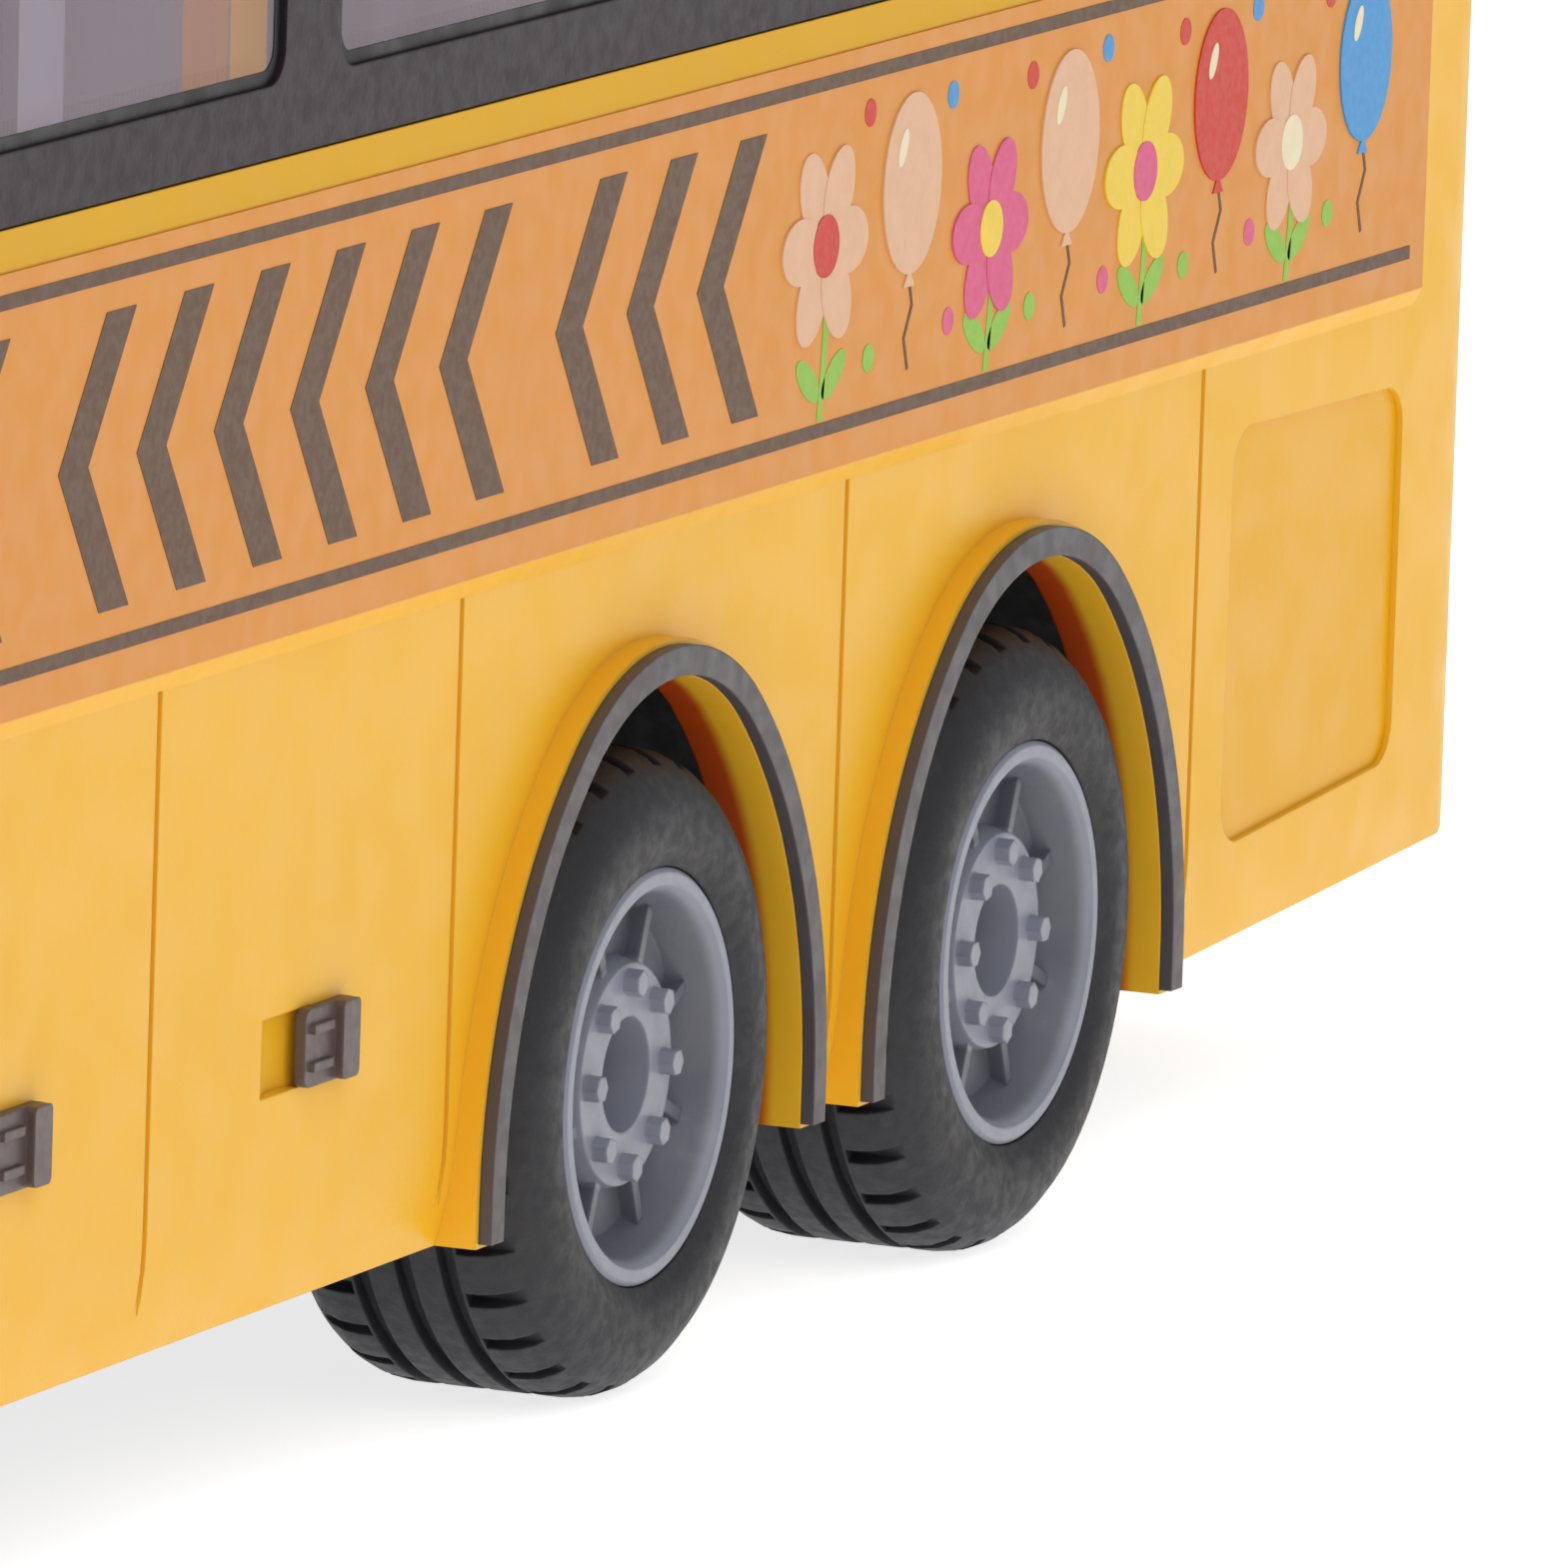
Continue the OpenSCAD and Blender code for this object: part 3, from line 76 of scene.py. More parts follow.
class Shading:
    """A material under construction: its node tree with short helpers."""

    def __init__(self, name: str) -> None:
        """Starts an empty material with a principled shader.

        Args:
            name: Name of the material.
        """
        self.material = bpy.data.materials.new(name)
        self.material.use_nodes = True
        self.tree = self.material.node_tree
        self.tree.nodes.clear()
        self.output = self.tree.nodes.new("ShaderNodeOutputMaterial")
        self.shader = self.tree.nodes.new("ShaderNodeBsdfPrincipled")
        self.link(self.shader.outputs["BSDF"], self.output.inputs["Surface"])
        self.place = self.tree.nodes.new("ShaderNodeTexCoord").outputs["Object"]

    def link(self, start: bpy.types.NodeSocket, end: bpy.types.NodeSocket) -> None:
        """Joins two sockets.

        Args:
            start: Output socket.
            end: Input socket.
        """
        self.tree.links.new(start, end)

    def noise(self, grain_mm: float, detail: float = 3.0,
              stretch: Colour = (1, 1, 1)) -> bpy.types.NodeSocket:
        """Adds a noise pattern in the coach's own frame.

        Args:
            grain_mm: Size of one grain in millimetres.
            detail: Octaves of the noise.
            stretch: Factors on the three axes.

        Returns:
            The socket with the noise value.
        """
        mapping = self.tree.nodes.new("ShaderNodeMapping")
        mapping.inputs["Scale"].default_value = stretch
        pattern = self.tree.nodes.new("ShaderNodeTexNoise")
        pattern.inputs["Scale"].default_value = 1 / (grain_mm * MM)
        pattern.inputs["Detail"].default_value = detail
        self.link(self.place, mapping.inputs["Vector"])
        self.link(mapping.outputs["Vector"], pattern.inputs["Vector"])
        return pattern.outputs["Fac"]

    def fade(self, value: bpy.types.NodeSocket, low: float, high: float,
             start: float = 0.0, end: float = 1.0) -> bpy.types.NodeSocket:
        """Maps a value smoothly from one range to another, and holds it at the ends.

        Args:
            value: Socket with the value.
            low: Value that gives start.
            high: Value that gives end.
            start: Result at low.
            end: Result at high.

        Returns:
            The socket with the result.
        """
        node = self.tree.nodes.new("ShaderNodeMapRange")
        node.interpolation_type = "SMOOTHSTEP"
        node.inputs["From Min"].default_value = low
        node.inputs["From Max"].default_value = high
        node.inputs["To Min"].default_value = start
        node.inputs["To Max"].default_value = end
        self.link(value, node.inputs["Value"])
        return node.outputs["Result"]

    def maths(self, operation: str, *values: bpy.types.NodeSocket | float) -> bpy.types.NodeSocket:
        """Adds one sum.

        Args:
            operation: Name of the operation.
            values: Sockets or numbers it takes.

        Returns:
            The socket with the result.
        """
        node = self.tree.nodes.new("ShaderNodeMath")
        node.operation = operation
        for number, value in enumerate(values):
            if isinstance(value, (int, float)):
                node.inputs[number].default_value = value
            else:
                self.link(value, node.inputs[number])
        return node.outputs["Value"]

    def mix(self, share: bpy.types.NodeSocket, first: Colour | bpy.types.NodeSocket,
            second: Colour | bpy.types.NodeSocket) -> bpy.types.NodeSocket:
        """Mixes two colours by a pattern.

        Args:
            share: Socket with the second colour's share.
            first: Colour where the share is 0.
            second: Colour where the share is 1.

        Returns:
            The socket with the mixed colour.
        """
        node = self.tree.nodes.new("ShaderNodeMix")
        node.data_type = "RGBA"
        self.link(share, node.inputs["Factor"])
        for name, value in (("A", first), ("B", second)):
            socket = next(s for s in node.inputs if s.name == name and s.type == "RGBA")
            if isinstance(value, tuple):
                socket.default_value = (*value, 1)
            else:
                self.link(value, socket)
        return next(s for s in node.outputs if s.type == "RGBA")

    def axes(self) -> tuple[bpy.types.NodeSocket, bpy.types.NodeSocket, bpy.types.NodeSocket]:
        """Splits the place in the coach's frame.

        Returns:
            The sockets with X, Y and Z in metres.
        """
        node = self.tree.nodes.new("ShaderNodeSeparateXYZ")
        self.link(self.place, node.inputs["Vector"])
        return node.outputs["X"], node.outputs["Y"], node.outputs["Z"]

    def relief(self, height: bpy.types.NodeSocket, depth_mm: float, edge_mm: float) -> None:
        """Gives the surface a fine relief and soft edges.

        Args:
            height: Socket with the relief's height from 0 to 1.
            depth_mm: Depth of the relief in millimetres.
            edge_mm: Radius of the soft edges in millimetres, or 0 for none.
        """
        bump = self.tree.nodes.new("ShaderNodeBump")
        bump.inputs["Distance"].default_value = depth_mm * MM
        self.link(height, bump.inputs["Height"])
        if edge_mm > 0:
            bevel = self.tree.nodes.new("ShaderNodeBevel")
            bevel.samples = BEVEL_SAMPLES
            bevel.inputs["Radius"].default_value = edge_mm * MM
            self.link(bevel.outputs["Normal"], bump.inputs["Normal"])
        self.link(bump.outputs["Normal"], self.shader.inputs["Normal"])


def tinted(colour: Colour, factor: float) -> Colour:
    """Lightens or darkens a colour.

    Args:
        colour: Linear colour.
        factor: Factor on all three channels.

    Returns:
        The changed colour.
    """
    return tuple(min(1.0, channel * factor) for channel in colour)


def nearest_axle(shading: Shading, x: bpy.types.NodeSocket) -> bpy.types.NodeSocket:
    """Measures the distance along the coach to the nearest axle.

    Args:
        shading: Material under construction.
        x: Socket with the place along the coach.

    Returns:
        The socket with the distance in metres.
    """
    spans = [shading.maths("ABSOLUTE", shading.maths("SUBTRACT", x, axle.value * MM)) for axle in Axle]
    nearest = spans[0]
    for span in spans[1:]:
        nearest = shading.maths("MINIMUM", nearest, span)
    return nearest


@dataclass(frozen=True)
class Finish:
    """A moulded plastic: mottled colour, uneven sheen and a fine grain."""

    name: str
    colour: Colour
    roughness: float = 0.4
    mottle: float = 0.06
    mottle_mm: float = 6.0
    grain_mm: float = 0.35
    grain_depth_mm: float = 0.012
    edge_mm: float = 0.15
    specular: float = 0.5
    metallic: float = 0.0
    clearness: float = 0.0
    sheen_swing: float = 0.15

    def colouring(self, shading: Shading) -> bpy.types.NodeSocket:
        """Builds the colour pattern.

        Args:
            shading: Material under construction.

        Returns:
            The socket with the colour.
        """
        return shading.mix(
            shading.noise(self.mottle_mm, 4.0),
            tinted(self.colour, 1 - self.mottle),
            tinted(self.colour, 1 + self.mottle),
        )

    def surface(self, shading: Shading) -> None:
        """Builds the relief.

        Args:
            shading: Material under construction.
        """
        shading.relief(shading.noise(self.grain_mm, 2.0), self.grain_depth_mm, self.edge_mm)

    def build(self) -> bpy.types.Material:
        """Builds the material.

        Returns:
            The finished material.
        """
        shading = Shading(self.name)
        sockets = shading.shader.inputs
        sockets["Specular IOR Level"].default_value = self.specular
        sockets["Metallic"].default_value = self.metallic
        sockets["Transmission Weight"].default_value = self.clearness
        shading.link(self.colouring(shading), sockets["Base Color"])
        sheen = shading.fade(
            shading.noise(self.mottle_mm / 3), NOISE_LOW, NOISE_HIGH,
            self.roughness * (1 - self.sheen_swing), min(1.0, self.roughness * (1 + self.sheen_swing)),
        )
        shading.link(sheen, sockets["Roughness"])
        self.surface(shading)
        return shading.material


@dataclass(frozen=True)
class BodyPlastic(Finish):
    """The yellow of the body, with painted shade in red-orange on the inner faces of the wheel arches."""

    # painted shade: red-orange colour for the shadowed inner faces of the wheel arches
    arch_shade: Colour = (0.5, 0.062, 0.003)
    arch_shade_y_mm: float = 40.1
    open_y_mm: float = 40.9
    arch_top_mm: float = 32.6
    arch_half_mm: float = 17.2
    panel: Colour = (0.79, 0.4, 0.0)
    panel_x_mm: tuple[float, float] = (128.9, 149.7)
    panel_z_mm: tuple[float, float] = (14.3, 34.0)
    panel_y_mm: float = 40.85
    border_mm: float = 0.2

    def colouring(self, shading: Shading) -> bpy.types.NodeSocket:
        """Builds the colour pattern with the painted shade in the wheel arches and the tail's side panel.

        Args:
            shading: Material under construction.

        Returns:
            The socket with the colour.
        """
        plain = super().colouring(shading)
        x, y, z = shading.axes()
        out = shading.maths("ABSOLUTE", y)
        edge = self.border_mm * MM
        inside_panel = [
            shading.fade(x, self.panel_x_mm[0] * MM, self.panel_x_mm[0] * MM + edge),
            shading.fade(x, self.panel_x_mm[1] * MM, self.panel_x_mm[1] * MM - edge),
            shading.fade(z, self.panel_z_mm[0] * MM, self.panel_z_mm[0] * MM + edge),
            shading.fade(z, self.panel_z_mm[1] * MM, self.panel_z_mm[1] * MM - edge),
            shading.fade(out, self.panel_y_mm * MM, self.panel_y_mm * MM - edge / 2),
        ]
        share = inside_panel[0]
        for part in inside_panel[1:]:
            share = shading.maths("MULTIPLY", share, part)
        panelled = shading.mix(share, plain, self.panel)
        # painted shade: red-orange on the arch openings' inner faces, below the arch top and near each axle
        arch_shade = shading.maths(
            "MULTIPLY",
            shading.fade(out, self.open_y_mm * MM, self.arch_shade_y_mm * MM),
            shading.fade(z, self.arch_top_mm * MM, self.arch_top_mm * MM - edge),
        )
        half = self.arch_half_mm * MM
        in_arch = shading.fade(nearest_axle(shading, x), half, half - edge)
        return shading.mix(shading.maths("MULTIPLY", arch_shade, in_arch), panelled, self.arch_shade)


@dataclass(frozen=True)
class SmokedPane(Finish):
    """Smoked clear plastic with faint upright streaks of painted reflection; what lies behind shows through
    dimly.
    """

    see_through: float = 0.3
    reflection_streak_mm: float = 7.0
    post_x_mm: float = -33.1
    post_pitch_mm: float = 60.0
    light_strip_lean: float = 0.02
    light_strip_edge_mm: float = 0.25
    reflection_streak_tall: Colour = (1.0, 1.0, 0.08)
    # strips by distance before the next post: painted shade of the pillar's inner side, its lit yellow side,
    # and a pale painted reflection
    painted_light_strips: tuple[tuple[float, float, Colour], ...] = (
        (6.4, 11.0, (0.36, 0.15, 0.085)),
        (2.6, 6.4, (0.46, 0.22, 0.06)),
        (22.0, 26.5, (0.29, 0.24, 0.31)),
    )

    def build(self) -> bpy.types.Material:
        """Builds the pane's material.

        Returns:
            The finished material.
        """
        material = super().build()
        tree = material.node_tree
        shader = next(n for n in tree.nodes if n.type == "BSDF_PRINCIPLED")
        shader.inputs["Alpha"].default_value = 1 - self.see_through
        return material

    def colouring(self, shading: Shading) -> bpy.types.NodeSocket:
        """Builds upright streaks of painted reflection, and strips before each post: the lit side and the
        painted shade of the yellow pillar seen through the pane, and a pale painted reflection.

        Args:
            shading: Material under construction.

        Returns:
            The socket with the colour.
        """
        # painted reflection: faint upright lighter and darker streaks on the pane
        reflection_streaks = shading.fade(shading.noise(self.reflection_streak_mm, 2.0, self.reflection_streak_tall), 0.35, 0.65)
        smoke = shading.mix(reflection_streaks, tinted(self.colour, 1 - self.mottle),
                            tinted(self.colour, 1 + self.mottle))
        x, _, z = shading.axes()
        lean = shading.maths("ADD", x, shading.maths("MULTIPLY", z, self.light_strip_lean))
        pitch = self.post_pitch_mm * MM
        along = shading.maths("FLOORED_MODULO", shading.maths("SUBTRACT", lean, self.post_x_mm * MM), pitch)
        before = shading.maths("SUBTRACT", pitch, along)
        edge = self.light_strip_edge_mm * MM
        # painted light: lit and shaded strips of the pillar and a reflection streak, mixed into the pane's
        # colour
        for near, far, colour in self.painted_light_strips:
            share = shading.maths(
                "MULTIPLY",
                shading.fade(before, near * MM, near * MM + edge),
                shading.fade(before, far * MM, far * MM - edge),
            )
            smoke = shading.mix(share, smoke, colour)
        return smoke


@dataclass(frozen=True)
class Rubber(Finish):
    """Tyre rubber with a fine pebbled skin and paler scuffs."""

    scuff: Colour = (0.06, 0.058, 0.062)
    scuff_mm: float = 1.6
    scuff_share: float = 0.35

    def colouring(self, shading: Shading) -> bpy.types.NodeSocket:
        """Builds the rubber's colour with its scuffs.

        Args:
            shading: Material under construction.

        Returns:
            The socket with the colour.
        """
        plain = super().colouring(shading)
        scuffs = shading.fade(shading.noise(self.scuff_mm, 6.0), 0.6, 0.78, 0.0, self.scuff_share)
        return shading.mix(scuffs, plain, self.scuff)


@dataclass(frozen=True)
class RimPlastic(Finish):
    """Grey of the rims, with painted light on the hub and the lip and painted shade in the dish between
    them.
    """

    axle_z_mm: float = 14.0
    hub_r_mm: float = 4.9
    lip_r_mm: float = 8.1
    # factors for the painted light on hub and lip and the painted shade in the dish
    ring_light: float = 1.65
    dish_shade: float = 0.78
    worn: float = 0.5
    ring_edge_mm: float = 0.3

    def colouring(self, shading: Shading) -> bpy.types.NodeSocket:
        """Builds the grey with its painted light on the rings and painted shade in the dish.

        Args:
            shading: Material under construction.

        Returns:
            The socket with the colour.
        """
        x, _, z = shading.axes()
        up = shading.maths("SUBTRACT", z, self.axle_z_mm * MM)
        along = nearest_axle(shading, x)
        squares = (shading.maths("MULTIPLY", side, side) for side in (along, up))
        radius = shading.maths("SQRT", shading.maths("ADD", *squares))
        edge = self.ring_edge_mm * MM
        # painted light on the hub and the lip; the dish between them gets painted shade
        ring_light = shading.maths(
            "MAXIMUM",
            shading.fade(radius, self.hub_r_mm * MM + edge, self.hub_r_mm * MM),
            shading.fade(radius, self.lip_r_mm * MM - edge, self.lip_r_mm * MM),
        )
        tone = shading.mix(ring_light, tinted(self.colour, self.dish_shade), tinted(self.colour, self.ring_light))
        worn = shading.noise(self.mottle_mm, 4.0)
        share = shading.maths("MULTIPLY", worn, self.mottle)
        return shading.mix(share, tone, tinted(self.colour, self.worn))


BODY = BodyPlastic("yellow_plastic", (0.84, 0.455, 0.02), roughness=0.42, mottle=0.03, mottle_mm=9.0,
                   specular=0.32)
FILM = Finish("orange_film", (0.68, 0.265, 0.03), roughness=0.45, mottle=0.03, mottle_mm=5.0,
              grain_mm=0.25, grain_depth_mm=0.006, edge_mm=0.05, specular=0.35)
FRAME_GREY = Finish("window_frame_grey", (0.022, 0.014, 0.019), roughness=0.38, mottle=0.12, mottle_mm=3.0,
                    specular=0.16)
PANE = SmokedPane("smoked_pane", (0.17, 0.125, 0.16), roughness=0.16, mottle=0.16, grain_depth_mm=0.001)
SCREEN = SmokedPane("smoked_screen", (0.17, 0.135, 0.165), roughness=0.16, mottle=0.16, grain_depth_mm=0.001,
                    painted_light_strips=())
# painted shadow: black for the shaded gap round each window pane
PANE_GAP_SHADE = Finish("pane_gap_shade", (0.006, 0.005, 0.006), roughness=0.5, edge_mm=0.0)
TRIM = Finish("trim_grey", (0.072, 0.062, 0.066), roughness=0.46, mottle=0.08, mottle_mm=3.0)
HANDLE = Finish("handle_grey", (0.1, 0.07, 0.064), roughness=0.42, mottle=0.1, mottle_mm=1.5)
RIM = RimPlastic("rim_grey", (0.165, 0.172, 0.21), roughness=0.4, mottle=0.2, mottle_mm=2.0, edge_mm=0.2)
TYRE = Rubber("tyre_rubber", (0.02, 0.02, 0.024), roughness=0.55, mottle=0.2, mottle_mm=2.0,
              grain_mm=0.22, grain_depth_mm=0.02, edge_mm=0.2, specular=0.35)
BLACK = Finish("black_plastic", (0.014, 0.013, 0.014), roughness=0.5, mottle=0.15, mottle_mm=2.5)
SEAT = Finish("seat_grey", (0.16, 0.15, 0.18), roughness=0.55, mottle=0.08)
LENS = Finish("lamp_lens", (0.88, 0.9, 0.92), roughness=0.08, mottle=0.02, grain_depth_mm=0.002,
              clearness=0.85)
CHROME = Finish("lamp_chrome", (0.75, 0.75, 0.77), roughness=0.14, mottle=0.03, metallic=1.0)
LED = Finish("lamp_led", (0.85, 0.84, 0.78), roughness=0.15, mottle=0.04, clearness=0.4)
RED = Finish("tail_lamp_red", (0.42, 0.012, 0.01), roughness=0.14, mottle=0.1, mottle_mm=1.2,
             grain_mm=1.1, grain_depth_mm=0.06)
STEEL = Finish("steel", (0.5, 0.5, 0.52), roughness=0.32, mottle=0.08, mottle_mm=1.5, metallic=1.0)
GEAR = Finish("gear_white", (0.72, 0.69, 0.62), roughness=0.45, mottle=0.05)
BOARD = Finish("board_green", (0.02, 0.13, 0.04), roughness=0.35, mottle=0.2, mottle_mm=1.0)
CELL = Finish("cell_blue", (0.02, 0.07, 0.22), roughness=0.2, mottle=0.08)


class Ink(Enum):
    """Printing inks of the side film, as name and linear colour."""

    BROWN = ("ink_brown", (0.125, 0.068, 0.038))
    PEACH = ("ink_peach", (0.72, 0.44, 0.27))
    PINK = ("ink_pink", (0.66, 0.1, 0.22))
    RED = ("ink_red", (0.58, 0.05, 0.03))
    GREEN = ("ink_green", (0.27, 0.5, 0.06))
    BLUE = ("ink_blue", (0.07, 0.3, 0.62))
    YELLOW = ("ink_yellow", (0.82, 0.58, 0.06))
    CREAM = ("ink_cream", (0.8, 0.7, 0.48))

    def finish(self) -> Finish:
        """Returns the ink's finish."""
        name, colour = self.value
        return Finish(name, colour, roughness=0.48, mottle=0.07, mottle_mm=1.2, grain_mm=0.25,
                      grain_depth_mm=0.005, edge_mm=0.0, specular=0.25)


class Workshop:
    """Makes materials once, dresses construction nodes and adds scene meshes."""

    def __init__(self, nodes: dict[str, bpy.types.Object]) -> None:
        """Keeps the construction's nodes.

        Args:
            nodes: Construction nodes by name.
        """
        self.nodes = nodes
        self.made: dict[str, bpy.types.Material] = {}

    def material(self, finish: Finish) -> bpy.types.Material:
        """Returns a finish's material and makes it at its first use.

        Args:
            finish: The finish.

        Returns:
            Its material.
        """
        if finish.name not in self.made:
            self.made[finish.name] = finish.build()
        return self.made[finish.name]

    def dress(self, finish: Finish, *names: str, smooth_deg: float = 28.0) -> None:
        """Gives construction nodes a finish and smooth shading below an angle.

        Args:
            finish: The finish.
            names: Node names.
            smooth_deg: Largest angle between faces that are shaded as one.
        """
        for name in names:
            node = self.nodes[name]
            node.data.materials.clear()
            node.data.materials.append(self.material(finish))
            self.smooth(node, smooth_deg)
            LOG.info("dressed %s in %s", name, finish.name)

    def smooth(self, piece: bpy.types.Object, angle_deg: float) -> None:
        """Shades a mesh smoothly where its faces meet at less than an angle.

        Args:
            piece: Mesh object.
            angle_deg: The angle in degrees.
        """
        mesh = piece.data
        if mesh.has_custom_normals:
            with bpy.context.temp_override(object=piece, active_object=piece):
                bpy.ops.mesh.customdata_custom_splitnormals_clear()
        weld = piece.modifiers.new("joined_faces", "WELD")
        weld.merge_threshold = WELD_MM * MM
        mesh.shade_smooth()
        split = piece.modifiers.new("crisp_edges", "EDGE_SPLIT")
        split.split_angle = math.radians(angle_deg)

    def piece(self, name: str, bm: bmesh.types.BMesh, finish: Finish, body: str,
              slot: str) -> bpy.types.Object:
        """Turns a mesh under construction into a piece that rides on a body.

        Args:
            name: Name of the piece.
            bm: The mesh, in metres, in the coach's frame.
            finish: Its finish.
            body: Body it rides on.
            slot: Not used.

        Returns:
            The new object.
        """
        bmesh.ops.recalc_face_normals(bm, faces=bm.faces)
        mesh = bpy.data.meshes.new(name)
        bm.to_mesh(mesh)
        bm.free()
        mesh.materials.append(self.material(finish))
        made = bpy.data.objects.new(name, mesh)
        bpy.context.scene.collection.objects.link(made)
        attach(made, body)
        LOG.info("built %s with %d faces", name, len(mesh.polygons))
        return made


def ellipse(centre: Point, half_x: float, half_z: float, turn_deg: float = 0.0, steps: int = 40) -> Outline:
    """Outline of a turned ellipse.

    Args:
        centre: Middle of the ellipse.
        half_x: Half its width.
        half_z: Half its height.
        turn_deg: Turn about its middle.
        steps: Points round it.

    Returns:
        The outline's points.
    """
    c, s = math.cos(math.radians(turn_deg)), math.sin(math.radians(turn_deg))
    points = []
    for k in range(steps):
        a = 2 * math.pi * k / steps
        x, z = half_x * math.cos(a), half_z * math.sin(a)
        points.append((centre[0] + c * x - s * z, centre[1] + s * x + c * z))
    return points


def ribbon(path: Sequence[Point], width: float) -> Outline:
    """Outline of a stripe along a path.

    Args:
        path: Points along its middle.
        width: Its width.

    Returns:
        The outline's points.
    """
    left, right = [], []
    for k, point in enumerate(path):
        before, after = path[max(0, k - 1)], path[min(len(path) - 1, k + 1)]
        along = (Vector(after) - Vector(before)).normalized()
        across = Vector((-along.y, along.x)) * width / 2
        left.append(tuple(Vector(point) + across))
        right.append(tuple(Vector(point) - across))
    return left + right[::-1]


def lay(bm: bmesh.types.BMesh, outline: Outline, side: Side, y0_mm: float, y1_mm: float) -> None:
    """Adds a flat shape to a mesh, standing off the coach's side.

    Args:
        bm: Mesh to add to.
        outline: Its points in the side view, in millimetres.
        side: Side of the coach.
        y0_mm: Distance of its back from the middle.
        y1_mm: Distance of its face from the middle.
    """
    rings = []
    for y in (y0_mm, y1_mm):
        rings.append([bm.verts.new((x * MM, side.value * y * MM, z * MM)) for x, z in outline])
    bm.faces.new(rings[1])
    count = len(outline)
    for k in range(count):
        bm.faces.new((rings[0][k], rings[0][(k + 1) % count], rings[1][(k + 1) % count], rings[1][k]))


def box_outline(x0: float, z0: float, x1: float, z1: float, r: float, steps: int = 6) -> Outline:
    """Outline of a box with round corners.

    Args:
        x0: Left edge.
        z0: Lower edge.
        x1: Right edge.
        z1: Upper edge.
        r: Radius of the corners.
        steps: Steps in a corner.

    Returns:
        The outline's points.
    """
    points = []
    corners = ((x1 - r, z0 + r, -90), (x1 - r, z1 - r, 0), (x0 + r, z1 - r, 90), (x0 + r, z0 + r, 180))
    for cx, cz, start in corners:
        for k in range(steps + 1):
            a = math.radians(start + 90 * k / steps)
            points.append((cx + r * math.cos(a), cz + r * math.sin(a)))
    return points


@dataclass
class Body:
    """The yellow shell with its seams and flares."""

    finish: Finish = BODY
    smooth_deg: float = 20.0

    def dress(self, shop: Workshop) -> None:
        """Dresses the shell.

        Args:
            shop: The workshop.
        """
        shop.dress(self.finish, "body_shell", smooth_deg=self.smooth_deg)


@dataclass
class SideWindows:
    """Window bands: dark frames, smoked panes and a black ring of painted shadow round each pane, where the
    gap between pane and frame lies.
    """

    gap_shade_mm: float = 0.5
    corner_mm: float = 1.5
    stand_off_mm: float = 0.04
    overlap_mm: float = 0.12

    def dress(self, shop: Workshop) -> None:
        """Dresses frames and panes.

        Args:
            shop: The workshop.
        """
        for side in Side:
            shop.dress(FRAME_GREY, f"window_frame_{side.word}")
            shop.dress(PANE, f"window_panes_{side.word}")

    def panes(self, shop: Workshop, side: Side) -> list[tuple[float, float, float, float, float]]:
        """Finds the panes on one side.

        Args:
            shop: The workshop.
            side: Side of the coach.

        Returns:
            Left, lower, right and upper edge and face distance of each pane in millimetres.
        """
        bm = bmesh.new()
        bm.from_mesh(shop.nodes[f"window_panes_{side.word}"].data)
        bmesh.ops.remove_doubles(bm, verts=bm.verts, dist=1e-6)
        found, seen = [], set()
        for seed in bm.verts:
            if seed in seen:
                continue
            group, queue = [], [seed]
            seen.add(seed)
            while queue:
                vert = queue.pop()
                group.append(vert.co / MM)
                for edge in vert.link_edges:
                    other = edge.other_vert(vert)
                    if other not in seen:
                        seen.add(other)
                        queue.append(other)
            xs, zs = [p.x for p in group], [p.z for p in group]
            found.append((min(xs), min(zs), max(xs), max(zs), max(abs(p.y) for p in group)))
        bm.free()
        return sorted(found)

    def build(self, shop: Workshop) -> None:
        """Builds the black rings of painted shadow round the panes.

        Args:
            shop: The workshop.
        """
        for side in Side:
            bm = bmesh.new()
            for x0, z0, x1, z1, face in self.panes(shop, side):
                outer = box_outline(x0 - self.overlap_mm, z0 - self.overlap_mm, x1 + self.overlap_mm,
                                    z1 + self.overlap_mm, self.corner_mm)
                inset = self.gap_shade_mm
                inner = box_outline(x0 + inset, z0 + inset, x1 - inset, z1 - inset, self.corner_mm - inset)
                self.ring(bm, outer, inner, side, face)
            # black rings of painted shadow over the gap between pane and frame
            shop.piece(f"pane_gap_shades_{side.word}", bm, PANE_GAP_SHADE, "bus", "dark_frame")

    def ring(self, bm: bmesh.types.BMesh, outer: Outline, inner: Outline, side: Side,
             face_mm: float) -> None:
        """Adds one flat ring.

        Args:
            bm: Mesh to add to.
            outer: Outer outline.
            inner: Inner outline with as many points.
            side: Side of the coach.
            face_mm: Distance of the pane's face from the middle.
        """
        rows = []
        for outline, y in ((outer, face_mm), (outer, face_mm + self.stand_off_mm),
                           (inner, face_mm + self.stand_off_mm), (inner, face_mm)):
            rows.append([bm.verts.new((x * MM, side.value * y * MM, z * MM)) for x, z in outline])
        count = len(outer)
        for first, second in zip(rows, rows[1:]):
            for k in range(count):
                n = (k + 1) % count
                bm.faces.new((first[k], first[n], second[n], second[k]))


class Motif(Enum):
    """Kinds of printed motif."""

    FLOWER = "flower"
    BALLOON = "balloon"


@dataclass(frozen=True)
class Printed:
    """One printed motif: its kind, its place along and up the side, its size and its inks."""

    kind: Motif
    along_mm: float
    height_mm: float
    size_mm: float
    ink: Ink
    heart: Ink = Ink.CREAM


